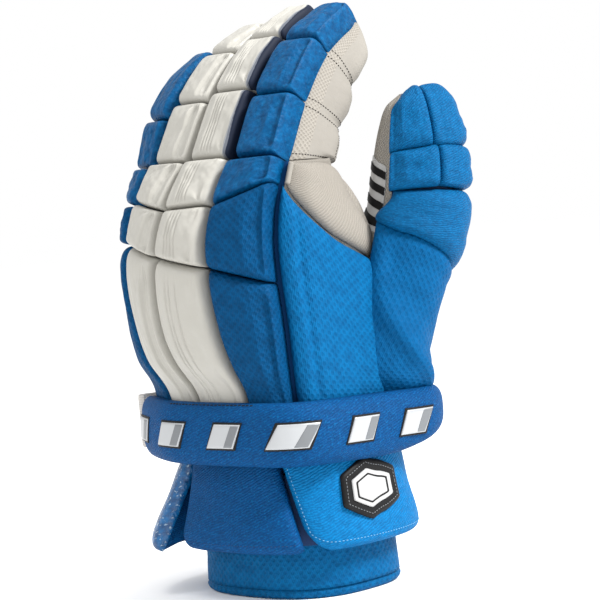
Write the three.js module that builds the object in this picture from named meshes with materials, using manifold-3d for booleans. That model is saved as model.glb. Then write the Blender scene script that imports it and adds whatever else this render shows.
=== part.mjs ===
// A left-hand lacrosse glove standing on the rim of its wrist sleeve, fingers up and thumb to +X.
// The back of the hand faces -Y and the palm faces +Y. All lengths are millimetres.
// The hand goes into a hollow shell: a palm body, four finger stalls and a thumb stall, each a thin wall.
// Foam pads lie on the outside of that shell, a strap closes round the wrist, and three flaps hang over a padded sleeve.
import * as THREE from "three";
import { mergeVertices } from "three/addons/utils/BufferGeometryUtils.js";
import Module from "manifold-3d";

const wasm = await Module();
wasm.setup();

// Driving sizes
const GLOVE_LENGTH = 330; // 13 inch, from sleeve to fingertip along the back; the curled glove stands a little lower
const HAND_WIDTH = 124; // across the knuckles
const HAND_DEPTH = 110; // from the back of the hand to the heel of the thumb
const SHELL_WALL = 2.4; // leather and mesh of the hollow shell
const PAD_FOAM = 12; // pads on the back of the hand and fingers
const PRESSED_FOAM = 8; // the same foam where the strap crosses it
const PANEL_FOAM = 7; // panel on the thumb side of the hand
const THUMB_FOAM = 10.5; // pads round the thumb
const WEB_CLOTH = 2; // mesh gusset between thumb and forefinger
const PAD_CHANNEL = 1.6; // sewn channel between two pads
const SEAM = 0.45; // clearance between a piece and what carries it
const THUMB_WIDTH = 50; // thumb stall, across
const THUMB_DEPTH = 34; // thumb stall, front to back
const SLEEVE_WIDTH = 108;
const SLEEVE_DEPTH = 91;
const SLEEVE_WALL = 7;
const SLEEVE_EDGE = 3; // roundness of the sleeve's rim
const SLEEVE_TAPER = 3; // the sleeve draws in this much towards its top
const FLAP_FOAM = 8;
const FLAP_FLARE = 10; // how far the middle flap's lower edge stands out
const FLAP_DROP = 35.5; // height of the flaps' lower edges
const STRAP_HEIGHT = 34;
const STRAP_FOAM = 8.5;
const STRAP_FLOOR = 78.5; // height of the strap's lower edge above the rim
const TAB_WEBBING = 2.5; // webbing that closes the strap across the palm
const TAB_HEIGHT = 30;
const TRIM_RUBBER = 1.2; // raised bars on the strap
const TRIM_HEIGHT = 13;
const TRIM_LENGTH = 17;
const BADGE_RUBBER = 2.4;
const BADGE_WIDTH = 40;
const BADGE_HEIGHT = 29;
const BADGE_INLAY = 1;

// Heights on the hand, as shares of GLOVE_LENGTH
const HEIGHT = { shellFoot: 0.218, flapTop: 0.252, knuckle: 0.725, thumbFoot: 0.285, thumbTip: 0.82, rim: 0.014 };

// Outline of the hand's shell at seven heights. Each pair is a share of HAND_WIDTH and a share of HAND_DEPTH.
// The first five points are the lines between the four columns of pads, from little finger to forefinger.
const OUTLINE = [
  "pinkyOut", "pinkyRing", "ringMiddle", "middleIndex", "indexOut",
  "radialMid", "palmRadial", "palmMid", "palmUlnar", "ulnarMid",
];
const HAND_ROWS = [
  {
    height: 0.218, pinkyOut: [-0.37, -0.27], pinkyRing: [-0.18, -0.38], ringMiddle: [0, -0.42],
    middleIndex: [0.22, -0.39], indexOut: [0.385, -0.3], radialMid: [0.44, -0.04], palmRadial: [0.355, 0.22],
    palmMid: [0.015, 0.31], palmUlnar: [-0.31, 0.22], ulnarMid: [-0.42, -0.04],
  },
  {
    height: 0.29, pinkyOut: [-0.45, -0.3], pinkyRing: [-0.21, -0.46], ringMiddle: [-0.02, -0.495],
    middleIndex: [0.22, -0.455], indexOut: [0.4, -0.385], radialMid: [0.445, -0.06], palmRadial: [0.38, 0.23],
    palmMid: [0, 0.29], palmUlnar: [-0.39, 0.21], ulnarMid: [-0.5, -0.05],
  },
  {
    height: 0.36, pinkyOut: [-0.485, -0.31], pinkyRing: [-0.24, -0.485], ringMiddle: [-0.05, -0.52],
    middleIndex: [0.2, -0.475], indexOut: [0.395, -0.4], radialMid: [0.45, -0.08], palmRadial: [0.4, 0.22],
    palmMid: [0, 0.25], palmUlnar: [-0.43, 0.19], ulnarMid: [-0.53, -0.06],
  },
  {
    height: 0.46, pinkyOut: [-0.54, -0.32], pinkyRing: [-0.355, -0.49], ringMiddle: [-0.175, -0.545],
    middleIndex: [0.125, -0.52], indexOut: [0.39, -0.41], radialMid: [0.45, -0.12], palmRadial: [0.41, 0.2],
    palmMid: [-0.01, 0.18], palmUlnar: [-0.46, 0.13], ulnarMid: [-0.57, -0.09],
  },
  {
    height: 0.585, pinkyOut: [-0.565, -0.32], pinkyRing: [-0.415, -0.475], ringMiddle: [-0.19, -0.545],
    middleIndex: [0.085, -0.525], indexOut: [0.37, -0.41], radialMid: [0.445, -0.14], palmRadial: [0.4, 0.16],
    palmMid: [-0.03, 0.09], palmUlnar: [-0.48, 0.06], ulnarMid: [-0.6, -0.13],
  },
  {
    height: 0.66, pinkyOut: [-0.54, -0.3], pinkyRing: [-0.395, -0.425], ringMiddle: [-0.155, -0.485],
    middleIndex: [0.095, -0.455], indexOut: [0.37, -0.37], radialMid: [0.43, -0.14], palmRadial: [0.36, 0.05],
    palmMid: [-0.03, 0.045], palmUlnar: [-0.47, 0.01], ulnarMid: [-0.585, -0.13],
  },
  {
    height: 0.725, pinkyOut: [-0.515, -0.25], pinkyRing: [-0.365, -0.335], ringMiddle: [-0.125, -0.36],
    middleIndex: [0.13, -0.35], indexOut: [0.385, -0.305], radialMid: [0.41, -0.12], palmRadial: [0.355, 0.02],
    palmMid: [-0.03, 0.03], palmUlnar: [-0.46, 0.005], ulnarMid: [-0.56, -0.11],
  },
];

// Seams between the rows of pads, at the five column lines, as shares of GLOVE_LENGTH
const SEAM_LINES = [
  { seam: "foot", pinkyOut: 0.299, pinkyRing: 0.299, ringMiddle: 0.299, middleIndex: 0.299, indexOut: 0.299 },
  { seam: "long", pinkyOut: 0.603, pinkyRing: 0.605, ringMiddle: 0.583, middleIndex: 0.562, indexOut: 0.53 },
  { seam: "back", pinkyOut: 0.666, pinkyRing: 0.666, ringMiddle: 0.652, middleIndex: 0.655, indexOut: 0.688 },
  { seam: "knuckle", pinkyOut: 0.725, pinkyRing: 0.725, ringMiddle: 0.725, middleIndex: 0.725, indexOut: 0.725 },
];

// Back line of each finger stall at knuckle, first joint, second joint and tip: x and width as shares of HAND_WIDTH,
// y and depth as shares of HAND_DEPTH, height as a share of GLOVE_LENGTH. twist turns the finger about its own line.
const FINGERS = {
  pinky: {
    twist: -18, pads: [["base", 0, 1], ["tip", 1, 2.97]], joints: [
      { x: -0.465, y: -0.25, height: 0.725, width: 0.205, depth: 0.25 },
      { x: -0.43, y: -0.19, height: 0.804, width: 0.2, depth: 0.24 },
      { x: -0.392, y: -0.08, height: 0.858, width: 0.19, depth: 0.2 },
      { x: -0.345, y: 0.095, height: 0.905, width: 0.16, depth: 0.14 },
    ],
  },
  ring: {
    twist: -6, pads: [["base", 0, 1], ["mid", 1, 2], ["tip", 2, 2.97]], joints: [
      { x: -0.243, y: -0.33, height: 0.725, width: 0.24, depth: 0.31 },
      { x: -0.21, y: -0.188, height: 0.822, width: 0.235, depth: 0.28 },
      { x: -0.172, y: 0, height: 0.895, width: 0.218, depth: 0.22 },
      { x: -0.121, y: 0.221, height: 0.939, width: 0.176, depth: 0.14 },
    ],
  },
  middle: {
    twist: 2, pads: [["base", 0, 1], ["mid", 1, 2], ["tip", 2, 2.97]], joints: [
      { x: 0.01, y: -0.34, height: 0.725, width: 0.256, depth: 0.32 },
      { x: 0.03, y: -0.165, height: 0.834, width: 0.243, depth: 0.29 },
      { x: 0.052, y: 0.053, height: 0.912, width: 0.226, depth: 0.23 },
      { x: 0.081, y: 0.309, height: 0.961, width: 0.184, depth: 0.15 },
    ],
  },
  index: {
    twist: 6, pads: [["base", 0, 1], ["mid", 1, 2], ["tip", 2, 2.97]], joints: [
      { x: 0.275, y: -0.31, height: 0.725, width: 0.262, depth: 0.33 },
      { x: 0.282, y: -0.156, height: 0.822, width: 0.252, depth: 0.32 },
      { x: 0.295, y: 0.035, height: 0.902, width: 0.23, depth: 0.275 },
      { x: 0.306, y: 0.309, height: 0.956, width: 0.186, depth: 0.175 },
    ],
  },
};

// Thumb stall: its middle, out and forward of the wrist's middle along the thumb's own diagonal, as shares of
// HAND_WIDTH; its size as shares of THUMB_WIDTH and THUMB_DEPTH; height as a share of GLOVE_LENGTH.
const THUMB_DIAGONAL = 45; // degrees, from +X towards +Y
const THUMB_ROWS = [
  { height: 0.285, out: 0.332, forward: 0.11, width: 0.56, depth: 0.82 },
  { height: 0.35, out: 0.3855, forward: 0.11, width: 0.83, depth: 0.86 },
  { height: 0.4, out: 0.4165, forward: 0.115, width: 0.84, depth: 0.92 },
  { height: 0.46, out: 0.465, forward: 0.12, width: 0.87, depth: 0.97 },
  { height: 0.53, out: 0.527, forward: 0.12, width: 0.95, depth: 1 },
  { height: 0.6, out: 0.581, forward: 0.12, width: 1, depth: 1 },
  { height: 0.665, out: 0.614, forward: 0.12, width: 0.97, depth: 1 },
  { height: 0.725, out: 0.629, forward: 0.12, width: 0.89, depth: 0.95 },
  { height: 0.77, out: 0.634, forward: 0.12, width: 0.75, depth: 0.82 },
  { height: 0.802, out: 0.636, forward: 0.12, width: 0.57, depth: 0.62 },
  { height: 0.82, out: 0.64, forward: 0.12, width: 0.28, depth: 0.3 },
];

// Pads of the thumb: angles round the stall in degrees (0 is out along the diagonal, 90 is forward), and heights
// at the first and second angle as shares of GLOVE_LENGTH.
const THUMB_PADS = [
  { name: "thumb_tip_front", from: 112, to: 66, foot: [0.722, 0.729], top: [0.816, 0.816] },
  { name: "thumb_tip_side", from: 64, to: -52, foot: [0.729, 0.716], top: [0.816, 0.816] },
  { name: "thumb_mid_front", from: 111, to: 60, foot: [0.662, 0.664], top: [0.722, 0.729] },
  { name: "thumb_mid_side", from: 58, to: -56, foot: [0.664, 0.646], top: [0.729, 0.716] },
  { name: "thumb_base", from: 123, to: -58, foot: [0.614, 0.49], top: [0.662, 0.646] },
  { name: "thumb_heel_panel", from: 121, to: -60, foot: [0.295, 0.3], top: [0.614, 0.49] },
];

const SINK = 1.5; // how far a pad starts inside its carrier before it is trimmed to it

const COLOURS = {
  blueMesh: { color: 0x1a74cf, roughness: 0.8 },
  blueKnit: { color: 0x1668c4, roughness: 0.85 },
  whiteLeather: { color: 0xe2dfd9, roughness: 0.45 },
  greyLeather: { color: 0xcfcac2, roughness: 0.8 },
  blackRubber: { color: 0x242424, roughness: 0.6 },
  silverFoil: { color: 0xc9cbcd, roughness: 0.3, metalness: 0.7 },
  paleWebbing: { color: 0xe6e2dd, roughness: 0.9 },
};

const UP = new THREE.Vector3(0, 0, 1);
const radians = THREE.MathUtils.degToRad;
const xy = ([x, y]) => new THREE.Vector3(x * HAND_WIDTH, y * HAND_DEPTH, 0);
const mix = (a, b, t) => a + (b - a) * t;

// Value at t of a smooth curve through values at knots; values are numbers or vectors.
function splineAt(knots, values, t) {
  const last = knots.length - 1;
  let k = 0;
  while (k < last - 1 && t > knots[k + 1]) k += 1;
  const span = knots[k + 1] - knots[k];
  const u = (t - knots[k]) / span;
  const weights = [(1 + 2 * u) * (1 - u) ** 2, u * (1 - u) ** 2, u ** 2 * (3 - 2 * u), u ** 2 * (u - 1)];
  const slope = (i) => [Math.max(i - 1, 0), Math.min(i + 1, last)];
  const terms = [[k, weights[0]], [k + 1, weights[2]]];
  for (const [i, w] of [[k, weights[1]], [k + 1, weights[3]]]) {
    const [before, after] = slope(i);
    const scale = (w * span) / (knots[after] - knots[before]);
    terms.push([after, scale], [before, -scale]);
  }
  if (typeof values[0] === "number") return terms.reduce((sum, [i, w]) => sum + values[i] * w, 0);
  return terms.reduce((sum, [i, w]) => sum.addScaledVector(values[i], w), new THREE.Vector3());
}

// Point s of a closed smooth curve through the points; whole numbers of s are the points themselves.
function ringAt(points, s) {
  const n = points.length;
  const base = Math.floor(s);
  const near = [-1, 0, 1, 2].map((k) => points[(((base + k) % n) + n) % n]);
  return splineAt([-1, 0, 1, 2], near, s - base);
}

// The hand's shell, grown outwards by grow: s runs round the OUTLINE points, z is the height.
const handHeights = HAND_ROWS.map((row) => row.height * GLOVE_LENGTH);
const handRings = HAND_ROWS.map((row) => OUTLINE.map((key) => xy(row[key])));
function handPoint(s, z) {
  const point = splineAt(handHeights, handRings.map((ring) => ringAt(ring, s)), z);
  return point.setZ(z);
}
function handNormal(s, z) {
  const step = 0.02;
  const across = handPoint(s + step, z).sub(handPoint(s - step, z));
  const along = handPoint(s, z + step).sub(handPoint(s, z - step));
  return across.cross(along).normalize();
}

// Direction in which the pads of a column stand off the hand.
function columnNormal(column, z) {
  const step = 0.5;
  const across = handPoint(column + 1, z).sub(handPoint(column, z));
  const along = handPoint(column + 0.5, z + step).sub(handPoint(column + 0.5, z - step));
  return across.cross(along).normalize();
}

// A closed solid through rings of equal point count, with both end rings filled.
function loft(rings) {
  const n = rings[0].length;
  const positions = rings.flat().flatMap((p) => [p.x, p.y, p.z]);
  const index = [];
  for (let r = 0; r < rings.length - 1; r += 1) {
    for (let i = 0; i < n; i += 1) {
      const j = (i + 1) % n;
      const [a, b, c, d] = [r * n + i, r * n + j, (r + 1) * n + j, (r + 1) * n + i];
      index.push(a, b, c, a, c, d);
    }
  }
  const cap = (ring, start, flip) => {
    const centre = positions.length / 3;
    const middle = ring.reduce((sum, p) => sum.addScaledVector(p, 1 / n), new THREE.Vector3());
    positions.push(middle.x, middle.y, middle.z);
    for (let i = 0; i < n; i += 1) {
      const [a, b] = [start + i, start + ((i + 1) % n)];
      index.push(centre, flip ? b : a, flip ? a : b);
    }
  };
  cap(rings[0], 0, true);
  cap(rings[rings.length - 1], (rings.length - 1) * n, false);
  return solid(positions, index);
}

function solid(positions, index) {
  let geometry = new THREE.BufferGeometry();
  geometry.setAttribute("position", new THREE.Float32BufferAttribute(positions, 3));
  geometry.setIndex(index);
  geometry = mergeVertices(geometry, 1e-4);
  const made = new wasm.Manifold(new wasm.Mesh({
    numProp: 3,
    vertProperties: new Float32Array(geometry.getAttribute("position").array),
    triVerts: new Uint32Array(geometry.index.array),
  }));
  if (made.volume() > 0) return made;
  const turned = [...index];
  for (let i = 0; i < turned.length; i += 3) [turned[i + 1], turned[i + 2]] = [turned[i + 2], turned[i + 1]];
  return solid(positions, turned);
}

const PAD_EDGE = 0.55; // height of a pad's border, as a share of its foam
const LONG_SWELL = [0.2, 0.42]; // the part of a long pad's length over which it swells from under the strap
const HEEL_SWELL = [0.12, 0.24];
const LONG_RUN = 12; // cells above which a grid is even, with one narrow cell at each end
const END_ROLL = 0.012;

// Positions of grid lines from 0 to 1, closer together near both ends, where a pad rolls over.
function gridLines(cells) {
  const lines = [];
  if (cells > LONG_RUN) {
    for (let i = 0; i <= cells - 2; i += 1) lines.push(i / (cells - 2));
    return [0, END_ROLL, ...lines.slice(1, -1), 1 - END_ROLL, 1];
  }
  for (let i = 0; i <= cells; i += 1) lines.push(0.5 - 0.5 * Math.cos((Math.PI * i) / cells));
  return lines;
}

// A pad: surface(a, b) gives the point under it, the point its thickness counts from and its outward direction;
// height(a, b) is its thickness there. Its underside starts at floor and is trimmed afterwards to what carries it.
function pad(surface, height, [cellsAcross, cellsAlong], floor = -SINK) {
  const [across, along] = [gridLines(cellsAcross), gridLines(cellsAlong)];
  const n = across.length;
  const [lower, upper, index] = [[], [], []];
  for (const b of along) {
    for (const a of across) {
      const { under, over, normal } = surface(a, b);
      const low = under.clone().addScaledVector(normal, floor);
      const high = over.clone().addScaledVector(normal, SEAM + height(a, b));
      lower.push(low.x, low.y, low.z);
      upper.push(high.x, high.y, high.z);
    }
  }
  const top = n * along.length;
  for (let j = 0; j < along.length - 1; j += 1) {
    for (let i = 0; i < n - 1; i += 1) {
      const [p, q, r, s] = [j * n + i, j * n + i + 1, (j + 1) * n + i + 1, (j + 1) * n + i];
      index.push(top + p, top + q, top + r, top + p, top + r, top + s, p, r, q, p, s, r);
    }
  }
  const wall = (p, q) => index.push(p, q, top + q, p, top + q, top + p);
  for (let i = 0; i < n - 1; i += 1) {
    wall(i, i + 1);
    wall((along.length - 1) * n + i + 1, (along.length - 1) * n + i);
  }
  for (let j = 0; j < along.length - 1; j += 1) {
    wall((j + 1) * n, j * n);
    wall(j * n + n - 1, (j + 1) * n + n - 1);
  }
  return solid([...lower, ...upper], index);
}

// Height of a pillow: full in the middle, rolled down to edge times its thickness at the border.
function pillow(thickness, edge, shape = () => 0) {
  const roll = (t) => Math.sqrt(1 - Math.abs(2 * t - 1) ** 5);
  return (a, b) => thickness * (edge + (1 - edge) * roll(a) * roll(b) + shape(a, b));
}

// A pillow whose foot is pressed down to a thinner foam, where the strap crosses it
function pressedPillow(thickness, span) {
  const body = pillow(thickness, PAD_EDGE);
  return (a, b) => body(a, b) * mix(PRESSED_FOAM / thickness, 1, THREE.MathUtils.smoothstep(b, ...span));
}

// A patch of a surface between two lines across and two seams along, drawn in by half a channel on each side.
function inset(corner, channel) {
  const width = corner(0, 0.5).distanceTo(corner(1, 0.5));
  const length = corner(0.5, 0).distanceTo(corner(0.5, 1));
  const [dx, dy] = [channel / 2 / width, channel / 2 / length];
  return (a, b) => [mix(dx, 1 - dx, a), mix(dy, 1 - dy, b)];
}

const FLATNESS = 0.04; // points that lie this close to a straight surface are dropped
const glove = new THREE.Group();
function add(name, colour, made) {
  // A cut can leave a crumb behind, so only the largest body is kept.
  const [whole] = made.decompose().sort((a, b) => b.volume() - a.volume());
  const mesh = whole.simplify(FLATNESS).getMesh();
  const geometry = new THREE.BufferGeometry();
  geometry.setAttribute("position", new THREE.Float32BufferAttribute(mesh.vertProperties, 3));
  geometry.setIndex(new THREE.Uint32BufferAttribute(mesh.triVerts, 1));
  geometry.computeVertexNormals();
  const piece = new THREE.Mesh(geometry, new THREE.MeshStandardMaterial(colour));
  piece.name = name;
  glove.add(piece);
}

// Hand shell: the outline's rings grown by grow, between two heights
const RING_POINTS = 26;
function handLoft(grow, low, high, layers) {
  const rings = [];
  for (let k = 0; k <= layers; k += 1) {
    const z = mix(low, high, k / layers);
    const ring = [];
    for (let i = 0; i < RING_POINTS; i += 1) {
      const s = (i / RING_POINTS) * OUTLINE.length;
      const flat = handNormal(s, z).setZ(0).normalize();
      ring.push(handPoint(s, z).addScaledVector(flat, grow));
    }
    rings.push(ring);
  }
  return loft(rings);
}

// Finger stalls
const FINGER_SQUARENESS = 3;
const PAD_SHARE = 0.96; // a finger's pads are this much of its width
const TIP_START = 2.62; // where along the finger's rows the tip starts to close
const TIP_END = 0.35; // share of the section that is left at the very tip
function fingerFrame(finger, v, standing = false) {
  const rows = finger.joints;
  const knots = rows.map((_, i) => i);
  const line = rows.map((r) => new THREE.Vector3(r.x * HAND_WIDTH, r.y * HAND_DEPTH, r.height * GLOVE_LENGTH));
  const back = splineAt(knots, line, v);
  const step = 0.01;
  const tangent = splineAt(knots, line, v + step).sub(splineAt(knots, line, v - step)).normalize();
  const along = standing ? UP.clone().lerp(tangent, Math.min(v / 0.4, 1)).normalize() : tangent;
  const turn = radians(finger.twist);
  const across = new THREE.Vector3(Math.cos(turn), Math.sin(turn), 0);
  const normal = across.clone().cross(along).normalize();
  const inward = normal.clone().negate().setX(0).normalize(); // each stall stays in its own lane
  const closing = Math.max(0, (v - TIP_START) / (3 - TIP_START));
  const share = mix(1, TIP_END, 1 - Math.sqrt(1 - closing ** 2));
  return {
    back, across, normal, inward, share,
    halfWidth: (splineAt(knots, rows.map((r) => r.width), v) * HAND_WIDTH) / 2,
    depth: splineAt(knots, rows.map((r) => r.depth), v) * HAND_DEPTH,
  };
}
function fingerLoft(finger, inward, from, to, layers, points) {
  const rings = [];
  for (let k = 0; k <= layers; k += 1) {
    const v = mix(from, to, Math.sin((Math.PI / 2) * (k / layers)));
    const f = fingerFrame(finger, Math.max(v, 0), true);
    const halfWidth = (f.halfWidth - PAD_CHANNEL / 2) * f.share - inward;
    const halfDepth = (f.depth * f.share) / 2 - inward;
    const middle = f.back.clone().addScaledVector(f.inward, (f.depth * f.share) / 2);
    if (v < 0) middle.z += v * f.depth;
    const ring = [];
    for (let i = 0; i < points; i += 1) {
      const angle = (2 * Math.PI * (i + 0.5)) / points;
      const [c, s] = [Math.cos(angle), Math.sin(angle)];
      const x = Math.sign(c) * Math.abs(c) ** (2 / FINGER_SQUARENESS) * halfWidth;
      const y = Math.sign(s) * Math.abs(s) ** (2 / FINGER_SQUARENESS) * halfDepth;
      ring.push(middle.clone().addScaledVector(f.across, x).addScaledVector(f.inward, y));
    }
    rings.push(ring);
  }
  return loft(rings);
}
function fingerSurface(finger, from, to) {
  const corner = (a, b) => {
    const f = fingerFrame(finger, mix(from, to, b));
    return f.back.clone().addScaledVector(f.across, (2 * a - 1) * f.halfWidth);
  };
  const drawn = inset(corner, PAD_CHANNEL);
  return (a, b) => {
    const [across, along] = drawn(a, b);
    const f = fingerFrame(finger, mix(from, to, along));
    const lateral = (2 * across - 1) * f.halfWidth * PAD_SHARE * Math.max(f.share, 0.8);
    const over = f.back.clone().addScaledVector(f.across, lateral);
    const stall = (f.halfWidth - PAD_CHANNEL / 2) * f.share;
    const side = Math.min(Math.abs(lateral) / stall, 0.97);
    const fall = (1 - (1 - side ** FINGER_SQUARENESS) ** (1 / FINGER_SQUARENESS)) * (f.depth * f.share) / 2;
    return { under: over.clone().addScaledVector(f.inward, fall), over, normal: f.normal };
  };
}

// Thumb stall
const THUMB_OUT = new THREE.Vector3(Math.cos(radians(THUMB_DIAGONAL)), Math.sin(radians(THUMB_DIAGONAL)), 0);
const THUMB_FORWARD = new THREE.Vector3(THUMB_OUT.y, -THUMB_OUT.x, 0);
const THUMB_SQUARENESS = 2.4;
const thumbHeights = THUMB_ROWS.map((row) => row.height * GLOVE_LENGTH);
function thumbPoint(angle, z, grow = 0) {
  const value = (key) => splineAt(thumbHeights, THUMB_ROWS.map((row) => row[key]), z);
  const [c, s] = [Math.cos(radians(angle)), Math.sin(radians(angle))];
  const power = 2 / THUMB_SQUARENESS;
  const x = Math.sign(c) * Math.abs(c) ** power * ((value("width") * THUMB_WIDTH) / 2 + grow);
  const y = Math.sign(s) * Math.abs(s) ** power * ((value("depth") * THUMB_DEPTH) / 2 + grow);
  return new THREE.Vector3(0, 0, z)
    .addScaledVector(THUMB_OUT, value("out") * HAND_WIDTH + x)
    .addScaledVector(THUMB_FORWARD, value("forward") * HAND_WIDTH + y);
}
function thumbLoft(grow, low, high, layers, points) {
  const rings = [];
  for (let k = 0; k <= layers; k += 1) {
    const z = mix(low, high, Math.sin((Math.PI / 2) * (k / layers)));
    const ring = [];
    for (let i = 0; i < points; i += 1) ring.push(thumbPoint((360 * (i + 0.5)) / points, z, grow));
    rings.push(ring);
  }
  return loft(rings);
}
function thumbSurface({ from, to, foot, top }) {
  const place = (a, b) => [mix(from, to, a), mix(mix(...foot, a), mix(...top, a), b) * GLOVE_LENGTH];
  const drawn = inset((a, b) => thumbPoint(...place(a, b)), PAD_CHANNEL);
  return (a, b) => {
    const [angle, z] = place(...drawn(a, b));
    const point = thumbPoint(angle, z);
    const turn = thumbPoint(angle - 2, z).sub(thumbPoint(angle + 2, z));
    const rise = thumbPoint(angle, z + 0.5).sub(thumbPoint(angle, z - 0.5));
    return { under: point, over: point, normal: turn.cross(rise).normalize() };
  };
}

// Hand pads: rows between seam lines, columns between outline lines
const COLUMNS = ["pinky", "ring", "middle", "index"];
const BACK_ROWS = [["long", "foot", "long"], ["back", "long", "back"], ["knuckle", "back", "knuckle"]];
const seamLine = (name) => SEAM_LINES.find((row) => row.seam === name);
function handSurface(column, lowSeam, highSeam) {
  const height = (seam, a) => mix(seamLine(seam)[OUTLINE[column]], seamLine(seam)[OUTLINE[column + 1]], a);
  const corner = (a, b) => handPoint(column + a, mix(height(lowSeam, a), height(highSeam, a), b) * GLOVE_LENGTH);
  const drawn = inset(corner, PAD_CHANNEL);
  return (a, b) => {
    const point = corner(...drawn(a, b));
    return { under: point, over: point, normal: columnNormal(column, point.z) };
  };
}

// Side panel: from the forefinger's outer line round to the thumb; its upper edge falls towards the thumb.
const SIDE_PANEL = { from: 4.05, to: 5.9, foot: 0.299, topAtFinger: 0.694, topAtThumb: 0.54 };
function sidePanelTop(s) {
  const { from, to, topAtFinger, topAtThumb } = SIDE_PANEL;
  return mix(topAtFinger, topAtThumb, Math.max(0, (s - from) / (to - from)) ** 0.75);
}
function sidePanelSurface() {
  const { from, to, foot } = SIDE_PANEL;
  const corner = (a, b) => {
    const s = mix(from, to, a);
    return [s, mix(foot, sidePanelTop(s), b) * GLOVE_LENGTH];
  };
  const drawn = inset((a, b) => handPoint(...corner(a, b)), PAD_CHANNEL);
  return (a, b) => {
    const place = corner(...drawn(a, b));
    return { under: handPoint(...place), over: handPoint(...place), normal: handNormal(...place) };
  };
}

// Sleeve and the flaps that hang over it: turn is measured from +X towards +Y, in degrees.
const SLEEVE_CENTRE = [0.04, -0.045]; // shares of HAND_WIDTH and HAND_DEPTH
const SLEEVE_SQUARENESS = 2.6;
function sleevePoint(turn, z, out) {
  const [c, s] = [Math.cos(radians(turn)), Math.sin(radians(turn))];
  const [x, y] = SLEEVE_CENTRE;
  const power = 2 / SLEEVE_SQUARENESS;
  return new THREE.Vector3(
    x * HAND_WIDTH + Math.sign(c) * Math.abs(c) ** power * (SLEEVE_WIDTH / 2 + out),
    y * HAND_DEPTH + Math.sign(s) * Math.abs(s) ** power * (SLEEVE_DEPTH / 2 + out),
    z,
  );
}
const SLEEVE_POINTS = 28;
const rim = HEIGHT.rim * GLOVE_LENGTH;
const sleeveTop = HEIGHT.shellFoot * GLOVE_LENGTH - SEAM;
const drawnIn = (z) => (-SLEEVE_TAPER * (z - rim)) / (sleeveTop - rim);
function sleeveLoft(rows) {
  return loft(rows.map(([z, out]) => {
    const ring = [];
    for (let i = 0; i < SLEEVE_POINTS; i += 1) ring.push(sleevePoint((360 * (i + 0.5)) / SLEEVE_POINTS, z, out));
    return ring;
  }));
}
// Each flap's two edges at its top and at its foot, and its flare as a share of FLAP_FLARE
const FLAPS = [
  { name: "flap_thumb_side", from: [-60, -43], to: [52, 50], flare: 0.6 },
  { name: "flap_back", from: [-122, -120], to: [-63, -47], flare: 1 },
  { name: "flap_pinky_side", from: [-230, -226], to: [-126, -126], flare: 2 },
];
function flapSurface({ from, to, flare }) {
  const top = HEIGHT.flapTop * GLOVE_LENGTH;
  const place = (a, b) => {
    const z = mix(FLAP_DROP, top, b);
    const turn = mix(mix(from[1], from[0], b), mix(to[1], to[0], b), a);
    return sleevePoint(turn, z, drawnIn(z) + SEAM + flare * FLAP_FLARE * (1 - b) ** 1.5);
  };
  return (a, b) => {
    const point = place(a, b);
    const across = place(a + 0.01, b).sub(place(a - 0.01, b));
    const along = place(a, Math.min(b + 0.01, 1)).sub(place(a, b - 0.01));
    return { under: point, over: point, normal: across.cross(along).normalize() };
  };
}

// The strap's path: pulled tight round everything it covers, so it bridges every hollow.
const STRAP_TOP = STRAP_FLOOR + STRAP_HEIGHT;
const WRAP_STEP = 3; // degrees
const STRAP_TILT = 0.024; // the strap sinks this much per millimetre towards the thumb
function wrapRing(offset) {
  const under = [];
  for (let i = 0; i < 90; i += 1) under.push(handPoint(i / 9, STRAP_TOP));
  for (let i = 0; i < 60; i += 1) under.push(thumbPoint(i * 6, STRAP_TOP));
  const ring = [];
  for (let turn = 0; turn <= 360; turn += WRAP_STEP) {
    const direction = new THREE.Vector3(Math.cos(radians(turn)), Math.sin(radians(turn)), 0);
    const best = under.reduce((far, p) => (p.dot(direction) > far.dot(direction) ? p : far));
    ring.push(best.clone().addScaledVector(direction, offset(turn)).setZ(0));
  }
  const travelled = [0];
  for (let i = 1; i < ring.length; i += 1) travelled.push(travelled[i - 1] + ring[i].distanceTo(ring[i - 1]));
  return { ring, travelled };
}
function wrapAt({ ring, travelled }, share) {
  const total = travelled[travelled.length - 1];
  const distance = (((share % 1) + 1) % 1) * total;
  let k = 0;
  while (k < ring.length - 2 && travelled[k + 1] < distance) k += 1;
  const t = (distance - travelled[k]) / (travelled[k + 1] - travelled[k]);
  return ring[k].clone().lerp(ring[k + 1], t);
}
function wrapSurface(wrap, [from, to], [low, high], slant = 0) {
  return (a, b) => {
    const share = mix(from, to, a) + slant * b;
    const point = wrapAt(wrap, share).setZ(mix(low, high, b));
    point.z -= STRAP_TILT * (point.x + point.y);
    const ahead = wrapAt(wrap, share + 0.012).sub(wrapAt(wrap, share - 0.012)).setZ(0);
    return { under: point, over: point, normal: ahead.cross(UP).normalize() };
  };
}

// How finely the pieces are divided, and how full a pad is at its border
const HAND_LAYERS = 6;
const FINGER_MESH = [6, 12]; // rings along a stall, points round it
const THUMB_MESH = [9, 16];
const PAD_CELLS = [4, 4];
const THUMB_CELLS = [7, 4];
const PAD_MARGIN = 3; // degrees of room beside the thumb's pads
const LONG_CELLS = [4, 7];
const HEEL_CELLS = [8, 7];
const WEB_CELLS = [7, 3];
const PANEL_CELLS = [6, 6];
const WEBBING_CELLS = [26, 1];
const FLAP_CELLS = [7, 4];
const STRAP_CELLS = [24, 4];
const FLAP_EDGE = 0.5;
const STRAP_EDGE = 0.5;
const INNER_FROM = -0.5; // a stall's hollow starts below its foot, inside the hand
const INNER_TO = 2.93;
const SIDE_SEAM = -0.09; // where back and palm of the hand's shell meet, as a share of HAND_DEPTH
const STRAP_EASE = 0.9;
const STRAP = { from: 222, to: 75, barsFrom: 231, barsTo: 42, bars: 6 };
const WEBBING = { middle: 148, tight: 18, loose: 52, clear: 3 };
const TRIM_SLANT = 6;
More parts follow.
